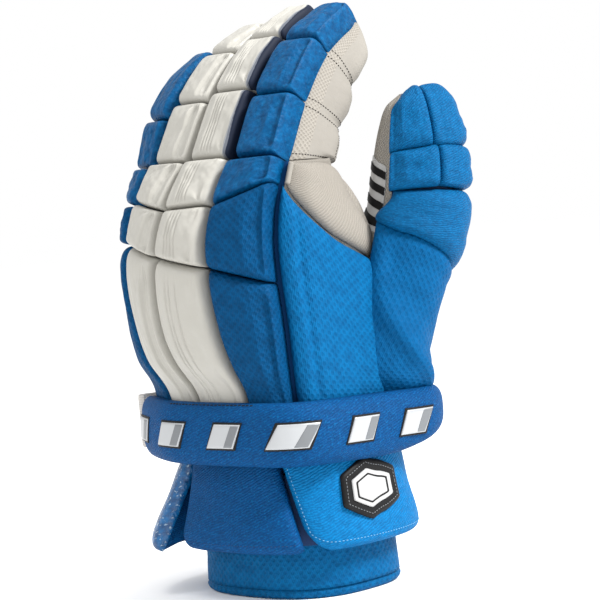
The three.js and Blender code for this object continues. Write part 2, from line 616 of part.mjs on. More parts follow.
const BADGE_INLAY_SHARE = 0.62;
const columnColour = (name) => (name === "middle" || name === "ring" ? COLOURS.whiteLeather : COLOURS.blueMesh);
const shareOf = ({ travelled }, turn) => travelled[Math.round(turn / WRAP_STEP)] / travelled[travelled.length - 1];

// Gusset between forefinger and thumb: it lies on the hand as far as WEB.leave, then spans to the thumb.
const WEB = {
  from: 4.12, to: 5.78, leave: 0.7, thumbTurn: 160, gap: 0.008,
  foot: [0.7, 0.555, 0.552], top: [0.718, 0.652, 0.602], // at the forefinger, where it leaves the hand, at the thumb
};
function webSurface() {
  const line = (heights, a) => splineAt([0, WEB.leave, 1], heights, a);
  const place = (a, b) => {
    const foot = a < WEB.leave ? sidePanelTop(mix(WEB.from, WEB.to, a / WEB.leave)) + WEB.gap : line(WEB.foot, a);
    const z = mix(foot, line(WEB.top, a), b) * GLOVE_LENGTH;
    if (a < WEB.leave) return handPoint(mix(WEB.from, WEB.to, a / WEB.leave), z);
    const away = (a - WEB.leave) / (1 - WEB.leave);
    return handPoint(WEB.to, z).lerp(thumbPoint(WEB.thumbTurn, z), away);
  };
  return (a, b) => {
    const across = place(a + 0.02, b).sub(place(a - 0.02, b));
    const along = place(a, b + 0.02).sub(place(a, b - 0.02));
    return { under: place(a, b), over: place(a, b), normal: across.cross(along).normalize() };
  };
}

// Hexagonal cutter for the badge, square to the flap
const BADGE = { turn: -5, height: 0.187, tilt: -31 }; // height as a share of GLOVE_LENGTH
function badgePrism(share) {
  const centre = sleevePoint(BADGE.turn, BADGE.height * GLOVE_LENGTH, FLAP_FOAM);
  const across = sleevePoint(BADGE.turn + 3, 0, 0).sub(sleevePoint(BADGE.turn - 3, 0, 0)).normalize();
  const normal = across.clone().cross(UP);
  const ring = (out) => {
    const corners = [];
    for (let i = 0; i < 6; i += 1) {
      const angle = radians(i * 60 + BADGE.tilt);
      corners.push(centre.clone()
        .addScaledVector(across, (Math.cos(angle) * share * BADGE_WIDTH) / 2)
        .addScaledVector(UP, (Math.sin(angle) * share * BADGE_HEIGHT) / Math.sqrt(3))
        .addScaledVector(normal, out));
    }
    return corners;
  };
  return loft([ring(-4 * FLAP_FOAM), ring(4 * FLAP_FOAM)]);
}

// Strap round the back of the wrist: what it crosses is trimmed to it.
const strapOffset = () => PRESSED_FOAM + SEAM + STRAP_EASE;
const strapWrap = wrapRing(strapOffset);
const strapShares = [shareOf(strapWrap, STRAP.from) - 1, shareOf(strapWrap, STRAP.to)];
const strapBody = pillow(STRAP_FOAM, STRAP_EDGE);
const strapLayer = (extra, clear = 0) => pad(
  wrapSurface(strapWrap, strapShares, [STRAP_FLOOR - clear, STRAP_TOP + clear]),
  (a, b) => strapBody(a, b) + extra, STRAP_CELLS, -clear,
);
const strapSkin = strapLayer(0, SEAM);

// Hand shell and stalls: the stalls' hollows open into the hand.
const level = (share) => share * GLOVE_LENGTH;
const [foot, crown] = [level(HEIGHT.shellFoot), level(HEIGHT.knuckle) - SEAM];
const handSkin = handLoft(SEAM, foot, crown, HAND_LAYERS);
let handShell = handLoft(0, foot, crown, HAND_LAYERS)
  .subtract(handLoft(-SHELL_WALL, foot - SEAM, crown - SHELL_WALL, HAND_LAYERS));
const pieces = [];
const fingerSkins = Object.values(FINGERS).map((finger) => fingerLoft(finger, -SEAM, 0, 3, ...FINGER_MESH));
for (const [name, finger] of Object.entries(FINGERS)) {
  const outer = fingerLoft(finger, 0, 0, 3, ...FINGER_MESH);
  const inner = fingerLoft(finger, SHELL_WALL, INNER_FROM, INNER_TO, ...FINGER_MESH);
  const next = fingerSkins[Object.keys(FINGERS).indexOf(name) + 1];
  const stall = outer.subtract(inner);
  pieces.push([`${name}_stall`, COLOURS.greyLeather, next ? stall.subtract(next) : stall]);
  handShell = handShell.subtract(inner);
  for (const [row, from, to] of finger.pads) {
    const made = pad(fingerSurface(finger, from, to), pillow(PAD_FOAM, PAD_EDGE), PAD_CELLS);
    const trimmed = fingerSkins.reduce((body, skin) => body.subtract(skin), made.subtract(handSkin));
    pieces.push([`${name}_${row}_pad`, columnColour(name), trimmed]);
  }
}

// Pads on the back of the hand
COLUMNS.forEach((name, column) => {
  for (const [row, low, high] of BACK_ROWS) {
    const body = row === "long" ? pressedPillow(PAD_FOAM, LONG_SWELL) : pillow(PAD_FOAM, PAD_EDGE);
    const made = pad(handSurface(column, low, high), body, row === "long" ? LONG_CELLS : PAD_CELLS);
    pieces.push([`${name}_${row}_pad`, columnColour(name), made.subtract(handSkin).subtract(strapSkin)]);
  }
});

// Thumb
const thumbSpan = [level(HEIGHT.thumbFoot), level(HEIGHT.thumbTip), ...THUMB_MESH];
const innerSpan = [level(HEIGHT.thumbFoot) + SHELL_WALL, level(HEIGHT.thumbTip) - SHELL_WALL, ...THUMB_MESH];
const thumbInner = thumbLoft(-SHELL_WALL, ...innerSpan);
const thumbSkin = thumbLoft(SEAM, ...thumbSpan);
const thumbParts = thumbLoft(0, ...thumbSpan).subtract(thumbInner).subtract(handSkin);
const [thumbFront, thumbSeam] = [THUMB_FORWARD.toArray(), THUMB_ROWS.at(-1).forward * HAND_WIDTH];
const thumbRear = THUMB_FORWARD.clone().negate().toArray();
pieces.push(["thumb_stall_front", COLOURS.greyLeather, thumbParts.trimByPlane(thumbFront, thumbSeam + SEAM / 2)]);
pieces.push(["thumb_stall_rear", COLOURS.greyLeather, thumbParts.trimByPlane(thumbRear, SEAM / 2 - thumbSeam)]);

// The hand's shell is sewn from cloth over the back, leather over the palm and a plate at the finger roots.
const handParts = handShell.subtract(thumbInner);
const [plateFoot, sideSeam] = [crown - 2 * SHELL_WALL, SIDE_SEAM * HAND_DEPTH];
const sides = handParts.trimByPlane([0, 0, -1], SEAM / 2 - plateFoot);
pieces.push(["knuckle_plate", COLOURS.greyLeather, handParts.trimByPlane([0, 0, 1], plateFoot + SEAM / 2)]);
pieces.push(["back_cloth", COLOURS.greyLeather, sides.trimByPlane([0, -1, 0], SEAM / 2 - sideSeam)]);
pieces.push(["palm_leather", COLOURS.greyLeather, sides.trimByPlane([0, 1, 0], sideSeam + SEAM / 2)]);
for (const patch of THUMB_PADS) {
  const heel = patch.name === "thumb_heel_panel";
  const body = heel ? pressedPillow(THUMB_FOAM, HEEL_SWELL) : pillow(THUMB_FOAM, PAD_EDGE);
  const made = pad(thumbSurface(patch), body, heel ? HEEL_CELLS : THUMB_CELLS);
  const trimmed = made.subtract(thumbSkin).subtract(handSkin).subtract(strapSkin);
  pieces.push([patch.name, COLOURS.blueKnit, trimmed]);
}
const thumbRooms = THUMB_PADS.slice(-2).map((patch) => {
  const wider = { ...patch, from: patch.from + PAD_MARGIN, foot: patch.foot.map((z) => z - PAD_CHANNEL / GLOVE_LENGTH) };
  return pad(thumbSurface(wider), () => THUMB_FOAM + SEAM, HEEL_CELLS);
});
const clearOfThumb = (made) => thumbRooms.reduce((body, room) => body.subtract(room), made.subtract(thumbSkin));
const sidePanel = pad(sidePanelSurface(), pillow(PANEL_FOAM, PAD_EDGE), PANEL_CELLS);
pieces.push(["side_panel", COLOURS.blueMesh, clearOfThumb(sidePanel.subtract(handSkin))]);
const web = pad(webSurface(), () => WEB_CLOTH, WEB_CELLS);
pieces.push(["thumb_web", COLOURS.greyLeather, clearOfThumb(web.subtract(handSkin))]);

// Sleeve and flaps
const rimRoll = [[0, SLEEVE_EDGE / 2], [SLEEVE_EDGE / 4, SLEEVE_EDGE / 6], [SLEEVE_EDGE, 0]];
const sleeveOuter = [...rimRoll.map(([up, roll]) => [rim + up, -roll]), [sleeveTop, drawnIn(sleeveTop)]];
const sleeveInner = rimRoll.map(([up, roll]) => [rim + up, roll - SLEEVE_WALL]);
sleeveInner.unshift([rim - SEAM, SLEEVE_EDGE / 2 - SLEEVE_WALL]);
sleeveInner.push([sleeveTop + SEAM, drawnIn(sleeveTop) - SLEEVE_WALL]);
const sleeve = sleeveLoft(sleeveOuter).subtract(sleeveLoft(sleeveInner));
pieces.push(["wrist_sleeve", COLOURS.blueMesh, sleeve]);
const flapLayer = (flap, extra) => {
  const body = pillow(FLAP_FOAM, FLAP_EDGE);
  return pad(flapSurface(flap), (a, b) => body(a, b) + extra, FLAP_CELLS, 0).subtract(handSkin).subtract(strapSkin);
};
for (const flap of FLAPS) pieces.push([flap.name, COLOURS.blueKnit, flapLayer(flap, 0)]);

// Badge on the thumb-side flap
const badgeFlap = FLAPS[0];
const badgeTop = SEAM + BADGE_RUBBER;
const layers = [SEAM, badgeTop, badgeTop + SEAM, badgeTop + SEAM + BADGE_INLAY].map((h) => flapLayer(badgeFlap, h));
pieces.push(["badge", COLOURS.blackRubber, layers[1].intersect(badgePrism(1)).subtract(layers[0])]);
pieces.push(["badge_inlay", COLOURS.silverFoil, layers[3].intersect(badgePrism(BADGE_INLAY_SHARE)).subtract(layers[2])]);

// Strap, the plain bars on it, and the webbing that closes it across the palm
pieces.push(["wrist_strap", COLOURS.blueKnit, strapLayer(0)]);
const round = strapWrap.travelled[strapWrap.travelled.length - 1];
const barFloor = STRAP_FLOOR + (STRAP_HEIGHT - TRIM_HEIGHT) / 2;
function barPrism(start) {
  const ends = [start, start + TRIM_LENGTH / round];
  const slanted = wrapSurface(strapWrap, ends, [barFloor, barFloor + TRIM_HEIGHT], TRIM_SLANT / round);
  const ring = (out) => [[0, 0], [1, 0], [1, 1], [0, 1]].map(([a, b]) => {
    const { over, normal } = slanted(a, b);
    return over.addScaledVector(normal, out);
  });
  return loft([ring(STRAP_FOAM / 2), ring(2 * STRAP_FOAM)]);
}
const [barsFrom, barsTo] = [shareOf(strapWrap, STRAP.barsFrom) - 1, shareOf(strapWrap, STRAP.barsTo)];
for (let i = 0; i < STRAP.bars; i += 1) {
  const start = mix(barsFrom, barsTo, i / STRAP.bars);
  const bar = strapLayer(SEAM + TRIM_RUBBER).intersect(barPrism(start)).subtract(strapLayer(SEAM));
  pieces.push([`strap_bar_${i + 1}`, COLOURS.silverFoil, bar]);
}
const webbingWrap = wrapRing((turn) => {
  const away = THREE.MathUtils.smoothstep(Math.abs(turn - WEBBING.middle), WEBBING.tight, WEBBING.loose);
  return mix(STRAP_EASE, strapOffset() + STRAP_FOAM / 4, away);
});
const webbingShares = [shareOf(webbingWrap, STRAP.to + WEBBING.clear), shareOf(webbingWrap, STRAP.from - WEBBING.clear)];
const webbingFloor = STRAP_TOP - TAB_HEIGHT - SEAM;
pieces.push(["strap_webbing", COLOURS.paleWebbing, pad(
  wrapSurface(webbingWrap, webbingShares, [webbingFloor, webbingFloor + TAB_HEIGHT]), () => TAB_WEBBING, WEBBING_CELLS, 0,
)]);

// The glove stands with the middle of its outline over the origin.
for (const [name, colour, made] of pieces) add(name, colour, made);
const bounds = new THREE.Box3().setFromObject(glove);
const middle = bounds.getCenter(new THREE.Vector3());
for (const piece of glove.children) piece.geometry.translate(-middle.x, -middle.y, -bounds.min.z);

export default glove;
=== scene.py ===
"""Looks of the lacrosse glove: padded cloth and leather pieces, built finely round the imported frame."""

import math

import bmesh
import bpy
import numpy as np
from mathutils import Matrix, Vector


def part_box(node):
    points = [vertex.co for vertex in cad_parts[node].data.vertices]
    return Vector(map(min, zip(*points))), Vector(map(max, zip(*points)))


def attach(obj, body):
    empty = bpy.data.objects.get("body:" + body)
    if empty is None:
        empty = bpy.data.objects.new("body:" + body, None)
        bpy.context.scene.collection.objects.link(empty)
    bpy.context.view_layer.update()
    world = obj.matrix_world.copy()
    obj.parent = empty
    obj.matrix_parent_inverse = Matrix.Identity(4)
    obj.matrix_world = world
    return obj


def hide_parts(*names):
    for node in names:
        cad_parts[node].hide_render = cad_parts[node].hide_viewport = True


# Driving sizes of the CAD part, in millimetres
GLOVE_LENGTH = 330
HAND_WIDTH = 124
HAND_DEPTH = 110
SHELL_WALL = 2.4
PAD_FOAM = 12
PRESSED_FOAM = 8
PANEL_FOAM = 7
THUMB_FOAM = 10.5
WEB_CLOTH = 2
PAD_CHANNEL = 1.6
COVER_CHANNEL = 0.5
THUMB_LAP = 1.2
SEAM = 0.45
THUMB_WIDTH = 50
THUMB_DEPTH = 34
SLEEVE_WIDTH = 108
SLEEVE_DEPTH = 91
SLEEVE_WALL = 7
SLEEVE_TAPER = 3
FLAP_FOAM = 8
FLAP_FLARE = 10
FLAP_DROP = 31
STRAP_HEIGHT = 34
STRAP_FOAM = 8.5
STRAP_FLOOR = 78.5
TAB_WEBBING = 2.5
TAB_HEIGHT = 30
TRIM_RUBBER = 1.2
TRIM_HEIGHT = 13
TRIM_LENGTH = 17
BADGE_RUBBER = 2.4
BADGE_WIDTH = 40
BADGE_HEIGHT = 29
BADGE_INLAY = 1
# Heights as shares of GLOVE_LENGTH
HEIGHT = {
    "rim": 0.014, "shellFoot": 0.218, "flapTop": 0.252, "knuckle": 0.725,
    "thumbFoot": 0.285, "thumbTip": 0.82,
}
# Height of each row, then x and y of the outline's points, as shares of HAND_WIDTH and HAND_DEPTH.
# The points run from the little finger's side over the back to the thumb's side, then across the palm
HAND_ROWS = [
    (0.218, [(-0.37, -0.27), (-0.18, -0.38), (0, -0.42), (0.22, -0.39), (0.385, -0.3),
             (0.44, -0.04), (0.355, 0.22), (0.015, 0.31), (-0.31, 0.22), (-0.42, -0.04)]),
    (0.29, [(-0.45, -0.3), (-0.21, -0.46), (-0.02, -0.495), (0.22, -0.455), (0.4, -0.385),
            (0.445, -0.06), (0.38, 0.23), (0, 0.29), (-0.39, 0.21), (-0.5, -0.05)]),
    (0.36, [(-0.485, -0.31), (-0.24, -0.485), (-0.05, -0.52), (0.2, -0.475), (0.395, -0.4),
            (0.45, -0.08), (0.4, 0.22), (0, 0.25), (-0.43, 0.19), (-0.53, -0.06)]),
    (0.46, [(-0.54, -0.32), (-0.355, -0.49), (-0.175, -0.545), (0.125, -0.52), (0.39, -0.41),
            (0.45, -0.12), (0.41, 0.2), (-0.01, 0.18), (-0.46, 0.13), (-0.57, -0.09)]),
    (0.585, [(-0.565, -0.32), (-0.415, -0.475), (-0.19, -0.545), (0.085, -0.525), (0.37, -0.41),
             (0.445, -0.14), (0.4, 0.16), (-0.03, 0.09), (-0.48, 0.06), (-0.6, -0.13)]),
    (0.66, [(-0.54, -0.3), (-0.395, -0.425), (-0.155, -0.485), (0.095, -0.455), (0.37, -0.37),
            (0.43, -0.14), (0.36, 0.05), (-0.03, 0.045), (-0.47, 0.01), (-0.585, -0.13)]),
    (0.725, [(-0.515, -0.25), (-0.365, -0.335), (-0.125, -0.36), (0.13, -0.35), (0.385, -0.305),
             (0.41, -0.12), (0.355, 0.02), (-0.03, 0.03), (-0.46, 0.005), (-0.56, -0.11)]),
]
OUTLINE_POINTS = len(HAND_ROWS[0][1])
# Seams between the rows of pads at the five column lines, as shares of GLOVE_LENGTH
SEAM_LINES = {
    "foot": (0.299, 0.299, 0.299, 0.299, 0.299),
    "long": (0.603, 0.605, 0.583, 0.562, 0.53),
    "back": (0.666, 0.666, 0.652, 0.655, 0.688),
    "knuckle": (0.725, 0.725, 0.725, 0.725, 0.725),
}
BACK_ROWS = [("long", "foot", "long"), ("back", "long", "back"), ("knuckle", "back", "knuckle")]
COLUMNS = ["pinky", "ring", "middle", "index"]
THREE_PADS = [("base", 0, 1), ("mid", 1, 2), ("tip", 2, 2.97)]
# Twist in degrees, the pads from joint to joint, then x, y, height, width and depth at each joint
FINGERS = {
    "pinky": (-18, [("base", 0, 1), ("tip", 1, 2.97)], [
        (-0.465, -0.25, 0.725, 0.205, 0.25), (-0.43, -0.19, 0.804, 0.2, 0.24),
        (-0.392, -0.08, 0.858, 0.19, 0.2), (-0.345, 0.095, 0.905, 0.16, 0.14)]),
    "ring": (-6, THREE_PADS, [
        (-0.243, -0.33, 0.725, 0.24, 0.31), (-0.21, -0.188, 0.822, 0.235, 0.28),
        (-0.172, 0, 0.895, 0.218, 0.22), (-0.121, 0.221, 0.939, 0.176, 0.14)]),
    "middle": (2, THREE_PADS, [
        (0.01, -0.34, 0.725, 0.256, 0.32), (0.03, -0.165, 0.834, 0.243, 0.29),
        (0.052, 0.053, 0.912, 0.226, 0.23), (0.081, 0.309, 0.961, 0.184, 0.15)]),
    "index": (6, THREE_PADS, [
        (0.275, -0.31, 0.725, 0.262, 0.33), (0.282, -0.156, 0.822, 0.252, 0.32),
        (0.295, 0.035, 0.902, 0.23, 0.275), (0.306, 0.309, 0.956, 0.186, 0.175)]),
}
FINGER_SQUARENESS = 3
PAD_SHARE = 0.96
INDEX_PAD_REACH = 0.9
TIP_START = 2.62
TIP_END = 0.35
THUMB_DIAGONAL = 45
# Height, out, forward, width, depth of the thumb's sections
THUMB_ROWS = [
    (0.285, 0.332, 0.11, 0.56, 0.82), (0.35, 0.3855, 0.11, 0.83, 0.86), (0.4, 0.4165, 0.115, 0.84, 0.92),
    (0.46, 0.465, 0.12, 0.87, 0.97), (0.53, 0.527, 0.12, 0.95, 1), (0.6, 0.581, 0.12, 1, 1),
    (0.665, 0.614, 0.12, 0.97, 1), (0.725, 0.629, 0.12, 0.89, 0.95), (0.77, 0.634, 0.12, 0.75, 0.82),
    (0.802, 0.636, 0.12, 0.57, 0.62), (0.82, 0.64, 0.12, 0.28, 0.3),
]
THUMB_SQUARENESS = 2.4
# Start and end in degrees round the thumb, then foot and top at each of them
THUMB_PADS = {
    "thumb_tip_front": (112, 66, (0.722, 0.729), (0.816, 0.816)),
    "thumb_tip_side": (64, -52, (0.729, 0.716), (0.816, 0.816)),
    "thumb_mid_front": (111, 60, (0.662, 0.664), (0.722, 0.729)),
    "thumb_mid_side": (58, -56, (0.664, 0.646), (0.729, 0.716)),
    "thumb_base": (123, -58, (0.614, 0.49), (0.662, 0.646)),
    "thumb_heel_panel": (121, -60, (0.295, 0.3), (0.614, 0.49)),
}
PANEL = {"from": 4.05, "to": 5.9, "foot": 0.299, "atFinger": 0.694, "atThumb": 0.54}
SLEEVE_CENTRE = (0.04, -0.045)
SLEEVE_SQUARENESS = 2.6
# First edge at top and foot and second edge at top and foot in degrees, then how far the foot stands out
# as a share of FLAP_FLARE, how late it bends out, and the foot's height
FLAPS = {
    "flap_thumb_side": ((-60, -43), (52, 50), 0.6, 1.5, FLAP_DROP),
    "flap_back": ((-122, -120), (-63, -47), 1, 1.5, FLAP_DROP),
    "flap_pinky_side": ((-230, -226), (-126, -126), 2.3, 1.0, FLAP_DROP - 2.5),
}
STRAP = {"from": 222, "to": 75, "barsFrom": 231, "barsTo": 42, "bars": 6}
STRAP_TOP = STRAP_FLOOR + STRAP_HEIGHT
STRAP_TILT = 0.024
STRAP_EASE = 0.9
WRAP_STEP = 3
WEBBING = {"middle": 148, "tight": 18, "loose": 52, "clear": 3, "loop": 7, "loopAt": 214}
TRIM_SLANT = 6
WEB = {
    "from": 4.12, "to": 5.78, "leave": 0.7, "thumbTurn": 160, "gap": 0.008,
    "foot": (0.7, 0.555, 0.552), "top": (0.722, 0.7, 0.607),
}
SHELL_RIBS = 0.58  # height above which the shell beside the web has the gusset's cloth
GUSSET_END = 6.4  # place on the outline where that cloth ends
UNDER_PADS = (4.08, 9.3)  # places on the outline beyond which the shell lies under the back's pads
SLEEVE_SHADE = (285, 322)  # degrees round the sleeve between the flaps, where it is painted dark as their shadow
MESH_STRIP = (300, 349)  # degrees round a finger stall, beside the pads' outer edge
DARK_FROM = 225  # degrees round a finger stall, where its dark strip under the pads starts
DARK_TOP = 2.8  # place along the finger where that strip ends
THUMB_MESH = (108, 307)  # degrees round the thumb between which its stall has airmesh
THUMB_STRIPES = {"count": 4, "foot": 199, "pitch": 8.4, "height": 4.2, "from": 122, "to": 176, "slant": 7}
BADGE = {"turn": -5, "height": 0.187, "tilt": -31}
BADGE_INLAY_SHARE = 0.62
SINK = 1.5
THREAD_SIDES = 6
CORD_SIDES = 10
# Pitch, length and radius of the threads of each row of stitches, in millimetres
STALL_THREAD = (1.9, 1.2, 0.28)
PATCH_THREAD = (1.7, 1.1, 0.2)
FLAP_THREAD = (2.2, 1.1, 0.2)
STRAP_THREAD = (2.6, 1.9, 0.4)
BADGE_THREAD = (1.9, 1.2, 0.22)
# Small shapes of the pads and tubes, in millimetres where no share is meant
PAD_STEP = 2.2
INDEX_SLOPE = 0.36  # as a share of PAD_FOAM
GROOVE_DEPTH = 0.7
GROOVE_WIDTH = 0.016  # as a share of the pad's width
GROOVE_BEND = 0.12
SIDE_SHADE_STEPS = (0.85, 0.885, 0.92)  # places across a middle finger pad where its painted shade starts: pale grey, grey, then dark blue-grey
BAND_FROM = 0.86  # place across the little-finger flap where its glossy band starts
STALL_SWELL = 2.6
STALL_GROOVE = 0.8
THUMB_SLACK = 3.2
WEB_SWELL = 5.5
SLEEVE_CUTS = 30

# Camera, fitted to the photograph in the source's own frame
VIEW_AZIMUTH = 45
VIEW_ELEVATION = 3
VIEW_ROLL = 5
VIEW_DISTANCE = 1200
VIEW_TARGET = (6.58, 9.48, 161.68)
VIEW_SCALE = 0.56  # millimetres per pixel of the photograph
PHOTO_PIXELS = 600
SENSOR = 36

# Place of each lamp to the right, towards the camera and up, in metres, then its size and power
LAMPS = [
    ("key", (1.1, 0.65, 1.15), 0.4, 50),
    ("left", (-1.3, 0.6, 1.0), 0.3, 3.5),
    ("top", (-0.4, 0.2, 1.5), 0.4, 5),
]
LIT_HEIGHT = 0.16
FLOOR_REACH = 6

PAD_GRID = 52
UP = np.array([0.0, 0.0, 1.0])


# Curves

def hermite(start, end, leave, arrive, u):
    """Cubic from start to end with the slopes leave and arrive, at u from 0 to 1."""
    return (start * (1 + 2 * u) * (1 - u) ** 2 + leave * u * (1 - u) ** 2
            + end * u ** 2 * (3 - 2 * u) + arrive * u ** 2 * (u - 1))


def spline(knots, values, t):
    """Smooth curve through values at knots, at each t. values of three axes hold a curve per element of t."""
    knots, values = np.asarray(knots, float), np.asarray(values, float)
    t = np.atleast_1d(np.asarray(t, float))
    last = len(knots) - 1
    k = np.clip(np.searchsorted(knots, t, side="left") - 1, 0, last - 1)
    before = np.maximum(np.arange(last + 1) - 1, 0)
    after = np.minimum(np.arange(last + 1) + 1, last)
    extra = (1,) * (values.ndim - 1)
    slopes = (values[after] - values[before]) / (knots[after] - knots[before]).reshape(-1, *extra)
    own = (np.arange(len(t)),) if values.ndim == 3 else ()
    low, high = (k, *own), (k + 1, *own)
    shape = (-1,) + (1,) * (values[low].ndim - 1)
    span = (knots[k + 1] - knots[k]).reshape(shape)
    u = ((t - knots[k]) / (knots[k + 1] - knots[k])).reshape(shape)
    return hermite(values[low], values[high], slopes[low] * span, slopes[high] * span, u)


def ring_at(points, s):
    """Point s of a closed smooth curve through points."""
    base = np.floor(s).astype(int)
    p = [points[(base + k) % len(points)] for k in (-1, 0, 1, 2)]
    return hermite(p[1], p[2], (p[2] - p[0]) / 2, (p[3] - p[1]) / 2, (s - base)[:, None])


def mix(a, b, t):
    return a + (b - a) * t


def smoothstep(x, low, high):
    t = np.clip((x - low) / (high - low), 0, 1)
    return t * t * (3 - 2 * t)


def unit(v):
    return v / (np.linalg.norm(v, axis=-1, keepdims=True) + 1e-12)


def flat_args(*arrays):
    """Arrays broadcast to one shape and made flat, with that shape."""
    full = np.broadcast_arrays(*[np.asarray(x, float) for x in arrays])
    return [x.ravel() for x in full], full[0].shape


def normal_of(place, a, b, step_a, step_b):
    """Unit normal of a surface, from its slopes along a and b."""
    across = place(np.add(a, step_a), b) - place(np.subtract(a, step_a), b)
    along = place(a, np.add(b, step_b)) - place(a, np.subtract(b, step_b))
    return unit(np.cross(across, along))


def rounded_square(angle, squareness):
    """Cosine and sine of an angle in radians, swollen from a circle towards a square."""
    c, s = np.cos(angle), np.sin(angle)
    return np.sign(c) * np.abs(c) ** (2 / squareness), np.sign(s) * np.abs(s) ** (2 / squareness)


def distances(path):
    """Distance travelled at each point of a path."""
    return np.concatenate([[0], np.cumsum(np.linalg.norm(np.diff(path, axis=0), axis=1))])


def along_path(path, travelled, places):
    return np.stack([np.interp(places, travelled, path[:, k]) for k in range(3)], -1)


# Hand

HAND_HEIGHTS = [row[0] * GLOVE_LENGTH for row in HAND_ROWS]
HAND_RINGS = [np.array(row[1]) * (HAND_WIDTH, HAND_DEPTH) for row in HAND_ROWS]


def hand_point(s, z):
    (s, z), shape = flat_args(s, z)
    rings = np.stack([ring_at(ring, s) for ring in HAND_RINGS])
    xy = spline(HAND_HEIGHTS, rings, z)
    return np.column_stack([xy, z]).reshape(shape + (3,))


# Fingers

def finger_frame(finger, v):
    twist, _, joints = FINGERS[finger]
    joints = np.array(joints)
    knots = np.arange(len(joints))
    line = joints[:, :3] * (HAND_WIDTH, HAND_DEPTH, GLOVE_LENGTH)
    (v,), shape = flat_args(v)
    back = spline(knots, line, v)
    step = 0.01
    tangent = unit(spline(knots, line, v + step) - spline(knots, line, v - step))
    turn = math.radians(twist)
    across = np.broadcast_to(np.array([math.cos(turn), math.sin(turn), 0]), tangent.shape)
    closing = np.maximum(0, (v - TIP_START) / (3 - TIP_START))
    share = mix(1, TIP_END, 1 - np.sqrt(np.maximum(0, 1 - closing ** 2)))
    width = spline(knots, joints[:, 3], v) * HAND_WIDTH
    depth = spline(knots, joints[:, 4], v) * HAND_DEPTH

    def inward_of(along):
        normal = unit(np.cross(across, along))
        inward = -normal
        inward[:, 0] = 0
        return normal, unit(inward)

    normal, inward = inward_of(tangent)
    standing = unit(mix(UP, tangent, np.clip(v / 0.4, 0, 1)[:, None]))
    _, standing_inward = inward_of(standing)
    out = {
        "back": back, "across": across, "normal": normal, "inward": inward, "standing": standing_inward,
        "share": share, "half": width / 2, "depth": depth,
    }
    return {key: value.reshape(shape + value.shape[1:]) for key, value in out.items()}


def finger_surface(finger, low, high):
    def corner(a, b):
        f = finger_frame(finger, mix(low, high, np.asarray(b, float)))
        return f["back"] + f["across"] * ((2 * np.asarray(a, float) - 1) * f["half"])[..., None]

    drawn = inset(corner)

    def surface(a, b):
        across, along = drawn(a, b)
        f = finger_frame(finger, mix(low, high, along))
        lateral = (2 * across - 1) * f["half"] * PAD_SHARE * np.maximum(f["share"], 0.8)
        over = f["back"] + f["across"] * lateral[..., None]
        stall = (f["half"] - PAD_CHANNEL / 2) * f["share"]
        side = np.minimum(np.abs(lateral) / stall, 0.97)
        fall = (1 - (1 - side ** FINGER_SQUARENESS) ** (1 / FINGER_SQUARENESS)) * f["depth"] * f["share"] / 2
        return over + f["inward"] * fall[..., None], over, f["normal"]
    return surface


def inset(corner, channel=COVER_CHANNEL):
    """Draws a patch in by half a channel on each side."""
    half = np.array(0.5)
    width = np.linalg.norm(corner(np.array(0.0), half) - corner(np.array(1.0), half))
    length = np.linalg.norm(corner(half, np.array(0.0)) - corner(half, np.array(1.0)))
    dx, dy = channel / 2 / width, channel / 2 / length
    return lambda a, b: (mix(dx, 1 - dx, a), mix(dy, 1 - dy, b))


def hand_surface(column, low_seam, high_seam):
    low, high = SEAM_LINES[low_seam], SEAM_LINES[high_seam]

    def corner(a, b):
        foot = mix(low[column], low[column + 1], a)
        top = mix(high[column], high[column + 1], a)
        return hand_point(column + a, mix(foot, top, b) * GLOVE_LENGTH)

    drawn = inset(corner)

    def surface(a, b):
        point = corner(*drawn(a, b))
        return point, point, normal_of(hand_point, column + 0.5, point[..., 2], 0.5, 0.5)
    return surface


# Thumb

THUMB_OUT = np.array([math.cos(math.radians(THUMB_DIAGONAL)), math.sin(math.radians(THUMB_DIAGONAL)), 0])
THUMB_FORWARD = np.array([THUMB_OUT[1], -THUMB_OUT[0], 0])
THUMB_TABLE = np.array(THUMB_ROWS)


def thumb_point(angle, z, grow=0.0):
    (angle, z), shape = flat_args(angle, z)
    row = spline(THUMB_TABLE[:, 0] * GLOVE_LENGTH, THUMB_TABLE[:, 1:], z)
    grow = np.broadcast_to(grow, shape).reshape(-1)
    c, s = rounded_square(np.radians(angle), THUMB_SQUARENESS)
    x = c * (row[:, 2] * THUMB_WIDTH / 2 + grow)
    y = s * (row[:, 3] * THUMB_DEPTH / 2 + grow)
    point = (THUMB_OUT * (row[:, 0] * HAND_WIDTH + x)[:, None]
             + THUMB_FORWARD * (row[:, 1] * HAND_WIDTH + y)[:, None])
    point[:, 2] = z
    return point.reshape(shape + (3,))


def thumb_normal(angle, z):
    return normal_of(thumb_point, angle, z, -2, 0.5)


def thumb_surface(start, end, foot, top):
    def place(a, b):
        return mix(start, end, a), mix(mix(foot[0], foot[1], a), mix(top[0], top[1], a), b) * GLOVE_LENGTH

    drawn = inset(lambda a, b: thumb_point(*place(a, b)), -THUMB_LAP)

    def surface(a, b):
        angle, z = place(*drawn(a, b))
        point = thumb_point(angle, z)
        return point, point, thumb_normal(angle, z)
    return surface


# Side panel and web

def panel_top(s):
    share = np.maximum(0, (s - PANEL["from"]) / (PANEL["to"] - PANEL["from"])) ** 0.75
    return mix(PANEL["atFinger"], PANEL["atThumb"], share)


def panel_surface():
    def corner(a, b):
        s = mix(PANEL["from"], PANEL["to"], a)
        return s, mix(PANEL["foot"], panel_top(s), b) * GLOVE_LENGTH

    drawn = inset(lambda a, b: hand_point(*corner(a, b)))

    def surface(a, b):
        place = corner(*drawn(a, b))
        point = hand_point(*place)
        return point, point, normal_of(hand_point, *place, 0.02, 0.02)
    return surface


